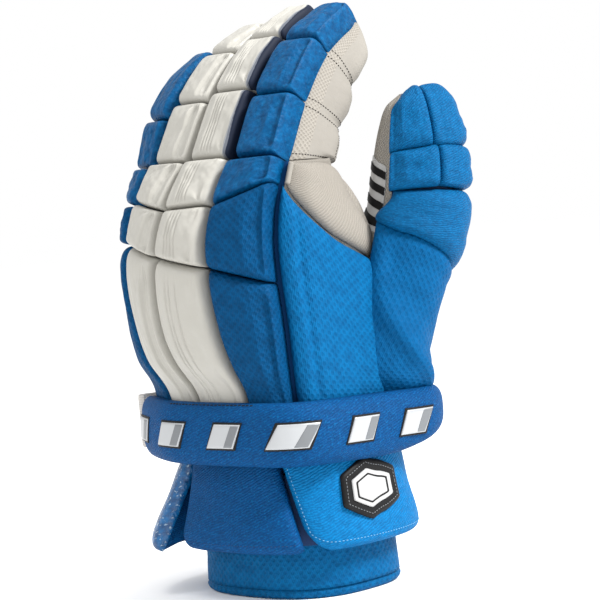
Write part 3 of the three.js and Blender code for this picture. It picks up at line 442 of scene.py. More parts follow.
def web_surface():
    def line(heights, a):
        return spline([0, WEB["leave"], 1], heights, a.ravel()).reshape(a.shape)

    def place(a, b):
        a, b = np.broadcast_arrays(np.asarray(a, float), np.asarray(b, float))
        near = a < WEB["leave"]
        s = mix(WEB["from"], WEB["to"], np.minimum(a / WEB["leave"], 1))
        foot = np.where(near, panel_top(s) + WEB["gap"], line(WEB["foot"], a))
        z = mix(foot, line(WEB["top"], a), b) * GLOVE_LENGTH
        on_hand = hand_point(s, z)
        away = np.clip((a - WEB["leave"]) / (1 - WEB["leave"]), 0, 1)[..., None]
        return mix(on_hand, thumb_point(np.full_like(z, WEB["thumbTurn"]), z), away)

    def surface(a, b):
        point = place(a, b)
        return point, point, normal_of(place, a, b, 0.02, 0.02)
    return surface


# Sleeve and flaps

RIM = HEIGHT["rim"] * GLOVE_LENGTH
SLEEVE_TOP = HEIGHT["shellFoot"] * GLOVE_LENGTH - SEAM
FLAP_TOP = HEIGHT["flapTop"] * GLOVE_LENGTH


def sleeve_point(turn, z, out):
    (turn, z, out), shape = flat_args(turn, z, out)
    c, s = rounded_square(np.radians(turn), SLEEVE_SQUARENESS)
    x = SLEEVE_CENTRE[0] * HAND_WIDTH + c * (SLEEVE_WIDTH / 2 + out)
    y = SLEEVE_CENTRE[1] * HAND_DEPTH + s * (SLEEVE_DEPTH / 2 + out)
    return np.column_stack([x, y, z]).reshape(shape + (3,))


def drawn_in(z):
    return -SLEEVE_TAPER * (z - RIM) / (SLEEVE_TOP - RIM)


def flap_surface(first, second, flare, bend, drop):
    def place(a, b):
        b = np.minimum(b, 1)
        z = mix(drop, FLAP_TOP, b)
        turn = mix(mix(first[1], first[0], b), mix(second[1], second[0], b), a)
        return sleeve_point(turn, z, drawn_in(z) + SEAM + flare * FLAP_FLARE * (1 - b) ** bend)

    def surface(a, b):
        point = place(a, b)
        return point, point, normal_of(place, a, b, 0.01, 0.01)
    return surface


# Strap

STRAP_OFFSET = PRESSED_FOAM + SEAM + STRAP_EASE
HAND_CUTS = 9  # points on the hand's outline per outline point, where the wrap is fitted


def wrap_ring(offset):
    """The line of a band pulled round the hand and the thumb, and the distance travelled along it."""
    outline = np.arange(OUTLINE_POINTS * HAND_CUTS) / HAND_CUTS
    under = np.concatenate([hand_point(outline, STRAP_TOP), thumb_point(np.arange(0, 360, 6.0), STRAP_TOP)])
    ring = []
    for turn in np.arange(0, 360 + WRAP_STEP, WRAP_STEP):
        direction = np.array([math.cos(math.radians(turn)), math.sin(math.radians(turn)), 0])
        point = under[np.argmax(under @ direction)] + direction * offset(turn)
        ring.append([point[0], point[1], 0])
    ring = np.array(ring)
    return ring, distances(ring)


def wrap_at(wrap, share):
    ring, travelled = wrap
    return along_path(ring, travelled, (share % 1) * travelled[-1])


def wrap_surface(wrap, ends, levels, slant=0.0):
    def surface(a, b):
        share = mix(ends[0], ends[1], a) + slant * b
        point = wrap_at(wrap, share)
        point[..., 2] = mix(levels[0], levels[1], b) - STRAP_TILT * (point[..., 0] + point[..., 1])
        ahead = wrap_at(wrap, share + 0.012) - wrap_at(wrap, share - 0.012)
        return point, point, unit(np.cross(ahead, UP))
    return surface


def share_of(wrap, turn):
    return wrap[1][round(turn / WRAP_STEP)] / wrap[1][-1]


# Meshes

def arc_lengths(points, axis):
    """Distance along the middle line of a grid of points."""
    middle = points.shape[1 - axis] // 2
    return distances(points[:, middle] if axis == 0 else points[middle])


def closed_length(points, u):
    """Length of one turn of a tube whose last column of points meets the first again."""
    middle = points[points.shape[0] // 2]
    return u[-1] + np.linalg.norm(middle[0] - middle[-1])


def to_frame(points):
    return (np.asarray(points) - SHIFT) / 1000


def face_out(mesh):
    shape = bmesh.new()
    shape.from_mesh(mesh)
    bmesh.ops.recalc_face_normals(shape, faces=shape.faces)
    shape.to_mesh(mesh)
    shape.free()


def make_mesh(name, points, faces, uvs, materials, face_materials=None, turn_length=0.0):
    """turn_length is how far u runs in one turn of a tube, so that its cloth pattern closes."""
    mesh = bpy.data.meshes.new(name)
    mesh.from_pydata(to_frame(points.reshape(-1, 3)).tolist(), [], faces)
    face_out(mesh)
    layer = mesh.uv_layers.new(name="UVMap")
    index = np.zeros(len(mesh.loops), int)
    mesh.loops.foreach_get("vertex_index", index)
    placed = uvs.reshape(-1, 2)[index]
    if turn_length:
        starts = np.array([polygon.loop_start for polygon in mesh.polygons])
        sizes = np.array([polygon.loop_total for polygon in mesh.polygons])
        highest = np.maximum.reduceat(placed[:, 0], starts)
        late = np.repeat(highest, sizes) - placed[:, 0] > turn_length / 2
        placed[late, 0] += turn_length
    layer.data.foreach_set("uv", (placed / 1000).ravel())
    for material in materials:
        mesh.materials.append(material)
    if face_materials is not None:
        mesh.polygons.foreach_set("material_index", face_materials)
    mesh.polygons.foreach_set("use_smooth", [True] * len(mesh.polygons))
    mesh.update()
    made = bpy.data.objects.new(name, mesh)
    bpy.context.scene.collection.objects.link(made)
    return made


def grid_faces(rows, columns, wrap_columns=False, wrap_rows=False):
    faces = []
    for j in range(rows if wrap_rows else rows - 1):
        for i in range(columns if wrap_columns else columns - 1):
            p, q = j * columns + i, j * columns + (i + 1) % columns
            r, s = ((j + 1) % rows) * columns + (i + 1) % columns, ((j + 1) % rows) * columns + i
            faces.append((p, q, r, s))
    return faces


def edge_spaced(cells):
    """Positions from 0 to 1, close together at both ends."""
    return 0.5 - 0.5 * np.cos(np.pi * np.arange(cells + 1) / cells)


def middles(t):
    return (t[:-1] + t[1:]) / 2


def pad_mesh(name, surface, height, materials, cells=None, floor=-SINK, plan=None, wall=None):
    """A pad: a domed sheet over a surface with a skirt down to its carrier, and a flat underside."""
    across, along = cells or (PAD_GRID, PAD_GRID)
    a = np.concatenate([[0], edge_spaced(across), [1]])
    b = np.concatenate([[0], edge_spaced(along), [1]])
    grid_b, grid_a = np.meshgrid(b, a, indexing="ij")
    skirt = np.zeros(grid_a.shape, bool)
    skirt[[0, -1]] = True
    skirt[:, [0, -1]] = True
    under, over, normal = surface(*(plan(grid_a, grid_b) if plan else (grid_a, grid_b)))
    lift = (SEAM + height(grid_a, grid_b))[..., None]
    points = np.where(skirt[..., None], under + normal * floor, over + normal * lift)
    uvs = np.stack(np.meshgrid(arc_lengths(points, 1), arc_lengths(points, 0)), -1)
    marks = [wall(x, y) if wall else 0 for y in middles(b) for x in middles(a)]
    places = np.arange(grid_a.size).reshape(grid_a.shape)
    border = [*places[0], *places[1:, -1], *places[-1, -2::-1], *places[-2:0:-1, 0]]
    faces = grid_faces(*grid_a.shape)
    faces.append(tuple(int(i) for i in reversed(border)))
    return make_mesh(name, points, faces, uvs, materials, marks + [0])


def block(thickness, edge=0.0, across=7.0, along=7.0):
    """Section of a foam block: flat on top, rounded down to edge at its border."""
    def roll(t, power):
        return np.sqrt(np.maximum(0, 1 - np.abs(2 * t - 1) ** power))
    return lambda a, b: thickness * (edge + (1 - edge) * roll(a, across) * roll(b, along))


def rounded_plan(pull=0.02, power=10):
    """Draws a pad's corners in a little."""
    def plan(a, b):
        u, v = 2 * a - 1, 2 * b - 1
        return (u * (1 - pull * np.abs(v) ** power) + 1) / 2, (v * (1 - pull * np.abs(u) ** power) + 1) / 2
    return plan


def pad_path(surface, plan, height, a, b, lift=0.0):
    """Points on a pad's top along lines of its own a and b."""
    a, b = np.broadcast_arrays(np.asarray(a, float), np.asarray(b, float))
    plan_a, plan_b = plan(a, b) if plan else (a, b)
    _, over, normal = surface(plan_a, plan_b)
    return over + normal * (SEAM + height(a, b) + lift)[..., None]


def through(*corners, steps=40):
    """Straight runs from corner to corner, each cut into steps."""
    corners = np.array(corners, float)
    runs = [np.linspace(corners[i], corners[i + 1], steps, endpoint=False) for i in range(len(corners) - 1)]
    return np.concatenate(runs + [corners[-1:]]).T


def resample(path, step):
    """Points every step millimetres along a path, and its direction there."""
    travelled = distances(path)
    places = np.arange(step / 2, travelled[-1], step)
    behind, points, ahead = (along_path(path, travelled, places + k * step / 4) for k in (-1, 0, 1))
    return points, unit(ahead - behind)


def directions_across(along):
    """Two directions across each of the given ones."""
    helper = np.where(np.abs(along[:, 2:]) > 0.8, [[1.0, 0, 0]], [[0, 0, 1.0]])
    first = unit(np.cross(along, helper))
    return first, np.cross(along, first)


def cord_faces(rows, sides):
    """Faces of a tube of rings, closed at both ends."""
    last = (rows - 1) * sides
    ends = [tuple(reversed(range(sides))), tuple(range(last, last + sides))]
    return grid_faces(rows, sides, wrap_columns=True) + ends


def stitches(name, paths, material, size):
    """Rows of short threads along paths, as one mesh. size is their pitch, length and radius."""
    pitch, length, radius = size
    angles = 2 * math.pi * np.arange(THREAD_SIDES) / THREAD_SIDES
    rings = ((-0.5, 0.35), (-0.32, 1), (0.32, 1), (0.5, 0.35))
    points = []
    for path in paths:
        centres, along = resample(path, pitch)
        for centre, ahead, u, v in zip(centres, along, *directions_across(along)):
            for place, share in rings:
                middle = centre + ahead * place * length
                points += [middle + radius * share * (math.cos(t) * u + math.sin(t) * v) for t in angles]
    starts = range(0, len(points), len(rings) * THREAD_SIDES)
    thread = cord_faces(len(rings), THREAD_SIDES)
    faces = [tuple(start + i for i in face) for start in starts for face in thread]
    points = np.array(points)
    return ride(make_mesh(name, points, faces, points[:, :2], [material]))


def cord_along(name, path, radius, material):
    """A round cord along a path."""
    first, second = directions_across(unit(np.gradient(path, axis=0)))
    angles = 2 * math.pi * np.arange(CORD_SIDES) / CORD_SIDES
    around = np.cos(angles)[:, None] * first[:, None] + np.sin(angles)[:, None] * second[:, None]
    points = path[:, None] + radius * around
    uvs = np.stack(np.meshgrid(angles * radius, arc_lengths(points, 0)), -1)
    return ride(make_mesh(name, points, cord_faces(len(path), CORD_SIDES), uvs, [material]))


def value_noise(a, b, seed, cells):
    """Smooth noise in -1..1 over the unit square."""
    local = np.random.default_rng(seed)
    table = local.uniform(-1, 1, (cells + 2, cells + 2))
    x, y = np.clip(a, 0, 1) * cells, np.clip(b, 0, 1) * cells
    i, j = np.floor(x).astype(int), np.floor(y).astype(int)
    fx, fy = smoothstep(x - i, 0, 1), smoothstep(y - j, 0, 1)
    low = mix(table[i, j], table[i + 1, j], fx)
    high = mix(table[i, j + 1], table[i + 1, j + 1], fx)
    return mix(low, high, fy)


def inside(a, b):
    """1 over a pad's top, falling to 0 at its border."""
    return smoothstep(np.minimum(a, 1 - a), 0.02, 0.16) * smoothstep(np.minimum(b, 1 - b), 0.02, 0.16)


def pucker(a, b, at, reach, folds, depth):
    """Small folds that spread from a point of the border."""
    dx, dy = a - at[0], b - at[1]
    distance = np.hypot(dx, dy)
    fan = np.sin(np.arctan2(dy, dx) * folds)
    return -depth * np.exp(-(distance / reach) ** 2) * (0.5 + 0.5 * fan)


# Materials

def srgb(code):
    value = np.array([(code >> shift) & 255 for shift in (16, 8, 0)]) / 255
    return np.where(value <= 0.04045, value / 12.92, ((value + 0.055) / 1.055) ** 2.4)


class Shader:
    """A Principled material whose nodes are added in short steps."""

    def __init__(self, name, colour, roughness, metallic=0.0, specular=0.5):
        self.material = bpy.data.materials.new(name)
        self.material.use_nodes = True
        self.nodes = self.material.node_tree.nodes
        self.links = self.material.node_tree.links
        self.base = self.nodes["Principled BSDF"]
        self.colour = [*srgb(colour), 1]
        values = {"Base Color": self.colour, "Roughness": roughness, "Metallic": metallic}
        values["Specular IOR Level"] = specular
        for key, value in values.items():
            self.base.inputs[key].default_value = value
        self.normal = None
        self.tint = None

    def add(self, kind, values=None, **settings):
        node = self.nodes.new(kind)
        for key, value in settings.items():
            setattr(node, key, value)
        for key, value in (values or {}).items():
            node.inputs[key].default_value = value
        return node

    def link(self, start, end):
        self.links.new(start, end)

    def texture(self, kind, values, output, pitch, turn=0.0):
        """A texture on the UV in metres, turned and divided so that one unit is pitch millimetres."""
        uv = self.add("ShaderNodeUVMap")
        placing = {"Rotation": (0, 0, math.radians(turn)), "Scale": (1000 / pitch,) * 3}
        mapping = self.add("ShaderNodeMapping", placing)
        self.link(uv.outputs["UV"], mapping.inputs["Vector"])
        node = self.add(kind, values)
        self.link(mapping.outputs["Vector"], node.inputs["Vector"])
        return node.outputs[output]

    def dots(self, pitch, turn=45.0):
        values = {"Scale": 1.0, "Randomness": 0.0}
        return self.texture("ShaderNodeTexVoronoi", values, "Distance", pitch, turn)

    def ribs(self, pitch, turn=0.0, wander=0.0):
        values = {"Scale": math.pi / 10, "Distortion": wander, "Detail": 1.0, "Detail Scale": 1.5}
        return self.texture("ShaderNodeTexWave", values, "Fac", pitch, turn)

    def noise(self, pitch, detail=3.0):
        return self.texture("ShaderNodeTexNoise", {"Scale": 1.0, "Detail": detail}, "Fac", pitch)

    def ramp(self, factor, low, high):
        """Takes factor from low..high to 0..1."""
        node = self.add("ShaderNodeMapRange", {"From Min": low, "From Max": high})
        self.link(factor, node.inputs["Value"])
        return node.outputs["Result"]

    def bump(self, factor, distance, strength=1.0):
        """distance in millimetres"""
        node = self.add("ShaderNodeBump", {"Distance": distance / 1000, "Strength": strength})
        self.link(factor, node.inputs["Height"])
        if self.normal:
            self.link(self.normal, node.inputs["Normal"])
        self.normal = node.outputs["Normal"]
        self.link(self.normal, self.base.inputs["Normal"])

    def shade(self, factor, colour, amount=1.0):
        """Mixes colour in where factor is 1."""
        node = self.add("ShaderNodeMix", data_type="RGBA")
        share = self.add("ShaderNodeMath", {1: amount}, operation="MULTIPLY")
        self.link(factor, share.inputs[0])
        self.link(share.outputs[0], node.inputs["Factor"])
        if self.tint:
            self.link(self.tint, node.inputs["A"])
        else:
            node.inputs["A"].default_value = self.colour
        node.inputs["B"].default_value = [*srgb(colour), 1]
        self.tint = node.outputs["Result"]
        self.link(self.tint, self.base.inputs["Base Color"])


def blue_mesh(name, colour=0x025A8C, deep=0x022F56):
    shader = Shader(name, colour, 0.6, specular=0.06)
    shader.shade(shader.ramp(shader.noise(6, 5), 0.42, 0.62), deep, 0.3)
    shader.shade(shader.ramp(shader.dots(3.2), 0.44, 0.2), deep, 0.24)
    weave = shader.ribs(1.1, 20, 1.5)
    shader.shade(weave, deep, 0.2)
    shader.bump(weave, 0.15, 0.7)
    shader.bump(shader.ramp(shader.dots(3.2), 0.2, 0.42), 0.3, 0.9)
    return shader.material


def blue_satin(name, colour=0x014A78, deep=0x012548):
    """Crushed cloth of the finger and knuckle pads, with small bright flecks painted as highlights."""
    shader = Shader(name, colour, 0.45, specular=0.1)
    shader.shade(shader.ramp(shader.noise(5, 5), 0.4, 0.65), deep, 0.5)
    # Painted highlights: small lighter flecks
    shader.shade(shader.ramp(shader.noise(3.0, 5), 0.52, 0.75), 0x0A78AC, 0.25)
    shader.shade(shader.ramp(shader.dots(3.2), 0.44, 0.2), deep, 0.15)
    shader.bump(shader.noise(2.2, 5), 0.9, 0.9)
    return shader.material


def blue_knit(name, colour=0x025A8C, deep=0x022F56):
    shader = Shader(name, colour, 0.6, specular=0.08)
    shader.shade(shader.ramp(shader.noise(3.5, 6), 0.42, 0.62), deep, 0.3)
    rib = shader.ribs(1.4, 66, 3.5)
    shader.shade(rib, deep, 0.4)
    # Painted highlights: small lighter flecks on the knit
    shader.shade(shader.ramp(shader.noise(1.3, 3), 0.52, 0.72), 0x0A80BA, 0.25)
    shader.bump(rib, 0.3, 0.8)
    shader.bump(shader.noise(1.3, 3), 0.45, 0.9)
    return shader.material


def glossy_band(name):
    """Blue foil band with pale glints on the edge of the little-finger flap."""
    shader = Shader(name, 0x04578C, 0.25, specular=0.5)
    shader.shade(shader.ramp(shader.noise(4, 3), 0.4, 0.6), 0x01305C, 0.7)
    # Painted highlights: pale glints on the foil
    shader.shade(shader.ramp(shader.noise(2.0, 4), 0.6, 0.68), 0xA9C4D6, 0.8)
    shader.bump(shader.noise(2.5, 4), 0.7, 0.9)
    return shader.material


def white_leather(name, colour=0xA9A7A0):
    shader = Shader(name, colour, 0.4, specular=0.35)
    shader.shade(shader.noise(25, 3), 0x98958D, 0.5)
    shader.bump(shader.noise(1.2, 4), 0.05, 0.6)
    shader.bump(shader.noise(9, 4), 0.8, 0.8)
    return shader.material


def grey_leather(name, colour=0x8B8780):
    shader = Shader(name, colour, 0.7, specular=0.2)
    shader.shade(shader.noise(14, 3), 0x77726A, 0.45)
    shader.bump(shader.noise(0.8, 3), 0.12, 0.7)
    shader.bump(shader.noise(6, 4), 0.5, 0.7)
    return shader.material


def grey_airmesh(name):
    shader = Shader(name, 0x908B83, 0.8, specular=0.2)
    holes = shader.ramp(shader.dots(1.6, 35), 0.45, 0.2)
    shader.shade(holes, 0x5F5A51, 0.3)
    shader.bump(shader.ramp(shader.dots(1.6, 35), 0.2, 0.45), 0.3, 0.9)
    return shader.material


def ribbed_gusset(name):
    shader = Shader(name, 0x8E8981, 0.8, specular=0.2)
    rib = shader.ribs(1.3, 28, 1.6)
    shader.shade(rib, 0x6E685F, 0.45)
    shader.shade(shader.ramp(shader.dots(1.3, 28), 0.45, 0.2), 0x6E685F, 0.25)
    shader.bump(rib, 0.25, 0.9)
    return shader.material


def plain(name, colour, roughness, metallic=0.0, specular=0.5):
    return Shader(name, colour, roughness, metallic, specular=specular).material


def webbing_cloth(name):
    shader = Shader(name, 0xCFCBC6, 0.8)
    rib = shader.ribs(1.0, 90)
    shader.shade(rib, 0xA09B94, 0.5)
    shader.bump(rib, 0.25, 0.8)
    return shader.material


# Pieces

def ride(piece, nodes=()):
    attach(piece, "root")
    if nodes:
        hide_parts(*nodes)
    return piece


def fold_over(height, shape):
    """Adds shape, which is zero at the border, to a pad's height."""
    return lambda a, b: height(a, b) + inside(a, b) * shape(a, b)


def index_slope(a):
    """The outer third of a forefinger pad slopes down in a face of its own."""
    return -INDEX_SLOPE * PAD_FOAM * np.clip((a - 0.66) / 0.26, 0, 1)


def grooves(a, b, places):
    """Narrow bent grooves along a pad, one through each place across it."""
    lines = (place + GROOVE_BEND * (b - 0.5) ** 2 for place in places)
    return -GROOVE_DEPTH * sum(np.exp(-((a - line) / GROOVE_WIDTH) ** 2) for line in lines)


def pad_shape(column, row):
    """Small shape of a back pad by its column: what lies on top of the plain block."""
    seed = COLUMNS.index(column) * 10 + len(row)

    def shape(a, b):
        lumps = 0.6 * value_noise(a, b, seed, 4) + 0.25 * value_noise(a, b, seed + 50, 11)
        if column == "index":
            return lumps + index_slope(a)
        if column == "middle":
            places = (0.3, 0.37, 0.5) if row == "long" else (0.3, 0.37, 0.44, 0.52)
            facet = -PAD_STEP * np.clip((0.24 - a) / 0.24, 0, 1)
            folds = pucker(a, b, (0.88, 0.0), 0.3, 7, 2.0) + pucker(a, b, (0.9, 1.0), 0.22, 6, 1.4)
            return lumps + grooves(a, b, places) + facet + folds
        if column == "ring":
            crease = 0.7 + 0.12 * (b - 0.5)
            step = -PAD_STEP * smoothstep(a, crease - 0.05, crease + 0.08)
            folds = pucker(a, b, (0.85, 1.0), 0.3, 9, 2.0) + pucker(a, b, (0.9, 0.0), 0.25, 7, 1.4)
            return lumps + step - 0.8 * np.exp(-((a - crease) / 0.03) ** 2) + folds
        return lumps
    return shape


def pressed(height, thickness, low, high):
    """Thins a pad's foot to PRESSED_FOAM, where the strap lies on it."""
    def shaped(a, b):
        return height(a, b) * mix(PRESSED_FOAM / thickness, 1, smoothstep(b, low, high))
    return shaped


def painted_side_shade(a, b):
    """Painted shade on the side of a middle finger pad that faces the forefinger: white darkening to dark
    blue-grey in steps.
    """
    shade_haze, shade_dusk, shade_navy = SIDE_SHADE_STEPS
    if a < shade_haze or not 0.004 < b < 0.996:
        return 0
    if a < shade_dusk:
        return 3
    return 1 if a > shade_navy + 0.012 * math.sin(7 * b) else 2


def drawn_back(plan, reach):
    """Ends a pad's outer side before the finger's side, where the stall's mesh shows."""
    def shorter(a, b):
        across, along = plan(a, b)
        return across * reach, along
    return shorter


def build_back(mats):
    for column, name in enumerate(COLUMNS):
        white = name in ("ring", "middle")
        across = PAD_GRID * (3 if white else 2)
        for row, low, high in BACK_ROWS:
            piece = f"{name}_{row}_pad"
            # Forefinger and little-finger long and back pads: a darker copy of the blue mesh, as painted
            # shade
            cloth = mats["white"] if white else mats["satin" if row == "knuckle" else "mesh_painted_shade"]
            height = fold_over(block(PAD_FOAM, 0.3, 12, 12), pad_shape(name, row))
            along = PAD_GRID
            if row == "long":
                height = pressed(height, PAD_FOAM, 0.2, 0.42)
                along = PAD_GRID * 2
            made = pad_mesh(piece + "_cover", hand_surface(column, low, high), height, [cloth],
                            (across, along), plan=rounded_plan())
            ride(made, [piece])
        # The last three cloths are pale grey, grey and dark blue-grey, painted shade on the middle finger's
        # side
        cloths = [mats["white" if white else "satin"], mats["shade_navy"], mats["shade_dusk"], mats["shade_haze"]]
        plan = drawn_back(rounded_plan(), INDEX_PAD_REACH) if name == "index" else rounded_plan()
        for row, low, high in FINGERS[name][1]:
            piece = f"{name}_{row}_pad"
            height = fold_over(block(PAD_FOAM, 0.3, 12, 12), pad_shape(name, row + "s"))
            made = pad_mesh(piece + "_cover", finger_surface(name, low, high), height, cloths,
                            (across, PAD_GRID), plan=plan, wall=painted_side_shade if name == "middle" else None)
            ride(made, [piece])


def tube_object(name, points, materials, marks, v=None):
    """An open tube with a closed tip, given thickness inwards. points is rings by points round."""
    rows, columns = points.shape[:2]
    u = arc_lengths(points, 1)
    v = arc_lengths(points, 0) if v is None else v
    uvs = np.stack(np.meshgrid(u, v), -1).reshape(-1, 2)
    top, crown = (rows - 1) * columns, rows * columns
    faces = grid_faces(rows, columns, wrap_columns=True)
    faces += [(top + i, top + (i + 1) % columns, crown) for i in range(columns)]
    flat = np.concatenate([points.reshape(-1, 3), points[-1].mean(0)[None]])
    uvs = np.concatenate([uvs, [[0, v[-1]]]])
    made = make_mesh(name, flat, faces, uvs, materials, list(marks) + [0] * columns, closed_length(points, u))
    modifier = made.modifiers.new("wall", "SOLIDIFY")
    modifier.thickness = SHELL_WALL / 1000
    modifier.offset = -1
    return made


def build_shell(mats):
    rows, columns = ((100, 280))
    z = np.linspace(HEIGHT["shellFoot"] * GLOVE_LENGTH, HEIGHT["knuckle"] * GLOVE_LENGTH - SEAM, rows)
    s = np.arange(columns) / columns * OUTLINE_POINTS
    grid_z, grid_s = np.meshgrid(z, s, indexing="ij")
    cell_z, cell_s = grid_z[:-1].ravel(), grid_s[:-1].ravel()
    beside_web = (cell_s > WEB["from"]) & (cell_s < GUSSET_END) & (cell_z > SHELL_RIBS * GLOVE_LENGTH)
    under_pads = (cell_s < UNDER_PADS[0]) | (cell_s > UNDER_PADS[1])
    marks = np.where(under_pads, 1, np.where(beside_web, 2, 0))
    cloths = [mats["grey"], mats["groove"], mats["gusset"]]
    made = tube_object("hand_shell_cover", hand_point(grid_s, grid_z), cloths, marks, z)
    ride(made, ["knuckle_plate", "back_cloth", "palm_leather"])


def stall_seams(finger):
    return (0.05, 1.0) if finger == "pinky" else (0.05, 1.02, 2.02)


def stall_relief(finger, v, angle):
    """How far a stall's palm side swells between its seams, in millimetres."""
    palm = smoothstep(np.sin(angle), -0.15, 0.45)
    groove = sum(np.exp(-((v - seam) / 0.05) ** 2) for seam in stall_seams(finger))
    swell = np.ones_like(v)
    for seam in stall_seams(finger):
        swell = swell * smoothstep(np.abs(v - seam), 0.0, 0.4)
    return (STALL_SWELL * swell - STALL_GROOVE * groove) * palm * smoothstep(2.95 - v, 0, 0.25)


def stall_path(finger, v, angle, lift):
    """Points lift above the outer side of a finger stall: v along it, angle round it."""
    v, angle = np.broadcast_arrays(np.asarray(v, float), np.asarray(angle, float))
    f = finger_frame(finger, v)
    c, s = rounded_square(angle, FINGER_SQUARENESS)
    x = c * ((f["half"] - PAD_CHANNEL / 2) * f["share"])
    y = s * (f["depth"] * f["share"] / 2)
    middle = f["back"] + f["standing"] * (f["depth"] * f["share"] / 2)[..., None]
    point = middle + f["across"] * x[..., None] + f["standing"] * y[..., None]
    return point + unit(point - middle) * (stall_relief(finger, v, angle) + lift)[..., None]


def build_stalls(mats):
    rings, columns = ((150, 120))
    v = 3 * np.sin(np.linspace(0, math.pi / 2, rings))
    angle = 2 * math.pi * (np.arange(columns) + 0.5) / columns
    grid_v, grid_angle = np.meshgrid(v, angle, indexing="ij")
    turns = np.degrees(grid_angle[:-1].ravel())
    marks = np.where((turns > MESH_STRIP[0]) & (turns < MESH_STRIP[1]), 1, 0)
    under_pads = (turns > DARK_FROM) & (turns <= MESH_STRIP[0]) & (grid_v[:-1].ravel() < DARK_TOP)
    marks = np.where(under_pads, 2, marks)
    cloths = [mats["grey"], mats["airmesh"], mats["groove"]]
    for name in COLUMNS:
        made = tube_object(f"{name}_stall_cover", stall_path(name, grid_v, grid_angle, 0.0), cloths, marks)
        ride(made, [f"{name}_stall"])
        rows = []
        for seam in stall_seams(name):
            for offset in (-0.075, 0.075):
                around = np.linspace(-0.95, math.pi + 0.35, 70)
                rows.append(stall_path(name, seam + offset + 0 * around, around, 0.05))
        stitches(f"{name}_stall_stitches", rows, mats["thread"], STALL_THREAD)
    turn = np.linspace(0, 2 * math.pi, 90)
    oval = stall_path("index", 0.52 + 0.36 * np.sin(turn), 0.95 + 0.42 * np.cos(turn), 0.1)
    stitches("index_patch_stitches", [oval], mats["thread"], PATCH_THREAD)


def slanted_end(a, b):
    """Cuts a pad's first end back at its top."""
    return mix(0.1 * smoothstep(b, 0.1, 0.95), 1, a), b


def sloping_top(a, b):
    """Lowers a pad's top towards the palm side, so that the thumb comes to a dome."""
    return a, b * (1 - 0.3 * np.clip(1 - a / 0.75, 0, 1) ** 1.6)


def thumb_slack(angle, z):
    """The stall's palm side is tighter than its pads, except where the web is sewn to it."""
    palm = smoothstep(angle, 108, 135) * (1 - smoothstep(angle, 270, 300))
    return -THUMB_SLACK * palm * smoothstep(z, 198, 212)


def heel_folds(a, b):
    """A slanting bend across the heel panel, and a short fold where it meets the outer edge."""
    beyond = b - (0.74 - 0.78 * a)
    bend = -3.2 * smoothstep(beyond, 0.0, 0.2) * smoothstep(a, 0.02, 0.15)
    valley = -1.6 * np.exp(-((beyond - 0.02) / 0.03) ** 2) * smoothstep(a, 0.3, 0.75)
    reach = smoothstep(a, 0.05, 0.2) * (1 - smoothstep(a, 0.7, 0.95))
    ridge = 3.0 * np.exp(-((beyond + 0.05) / 0.07) ** 2) * reach
    outer = -2.4 * np.exp(-((b - 0.16) / 0.02) ** 2) * smoothstep(a, 0.6, 0.8)
    return bend + valley + ridge + outer


def thumb_lumps(name):
    """Small shape of a thumb pad: its lumps, a facet towards the palm or the heel panel's folds."""
    seed = len(name)

    def shape(a, b):
        lumps = 0.7 * value_noise(a, b, seed, 4) + 0.3 * value_noise(a, b, seed + 9, 12)
        if name.endswith(("front", "side")):
            lumps = lumps - 3.2 * np.clip((0.34 - a) / 0.3, 0, 1)
        if name == "thumb_heel_panel":
            lumps = lumps + heel_folds(a, b)
        return lumps
    return shape


def thumb_stripe(foot, height, lift=0.0):
    def surface(a, b):
        turn = mix(THUMB_STRIPES["from"], THUMB_STRIPES["to"], a)
        z = foot + height * b + THUMB_STRIPES["slant"] * a
        point = thumb_point(turn, z, thumb_slack(turn, z) + lift)
        return point, point, thumb_normal(turn, z)
    return surface


def build_thumb(mats):
    rings, columns = ((120, 130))
    low, high = HEIGHT["thumbFoot"] * GLOVE_LENGTH, HEIGHT["thumbTip"] * GLOVE_LENGTH
    z = mix(low, high, np.sin(np.linspace(0, math.pi / 2, rings)))
    angle = 360 * (np.arange(columns) + 0.5) / columns
    grid_z, grid_angle = np.meshgrid(z, angle, indexing="ij")
    points = thumb_point(grid_angle, grid_z, thumb_slack(grid_angle, grid_z))
    turns = grid_angle[:-1].ravel()
    marks = np.where((turns < THUMB_MESH[0]) | (turns > THUMB_MESH[1]), 1, 0)
    made = tube_object("thumb_stall_cover", points, [mats["airmesh"], mats["deep"]], marks)
    ride(made, ["thumb_stall_front", "thumb_stall_rear"])
    plans = {"thumb_tip_front": sloping_top, "thumb_base": slanted_end, "thumb_heel_panel": None}
    for name, place in THUMB_PADS.items():
        # Thumb pads and heel panel: half-darkened copies of the knit and mesh, as painted shade
        body, along, cloth = block(THUMB_FOAM, 0.22, 9, 6), PAD_GRID, mats["knit_painted_half_shade"]
        if name == "thumb_heel_panel":
            body, along, cloth = pressed(body, THUMB_FOAM, 0.12, 0.24), PAD_GRID * 2, mats["mesh_painted_half_shade"]
        pad = pad_mesh(name + "_cover", thumb_surface(*place), fold_over(body, thumb_lumps(name)), [cloth],
                       (PAD_GRID * 2, along), plan=plans.get(name, rounded_plan(0.01)))
        ride(pad, [name])
    build_stripes(mats)


def build_stripes(mats):
    """Short dark stripes on the thumb's palm side, on a pale ground."""
    foot, pitch, height = THUMB_STRIPES["foot"], THUMB_STRIPES["pitch"], THUMB_STRIPES["height"]
    high = pitch * (THUMB_STRIPES["count"] - 1) + height
    ground = pad_mesh("thumb_stripe_ground", thumb_stripe(foot - 3, high + 6, 0.2), lambda a, b: 0 * a,
                      [mats["pale"]], (16, 40), floor=-2.4)
    ride(ground)
    for i in range(THUMB_STRIPES["count"]):
        patch = pad_mesh(f"thumb_stripe_{i + 1}", thumb_stripe(foot + i * pitch, height, 0.3),
                         lambda a, b: 0.3 + 0 * a, [mats["black"]], (16, 4), floor=0)
        ride(patch)


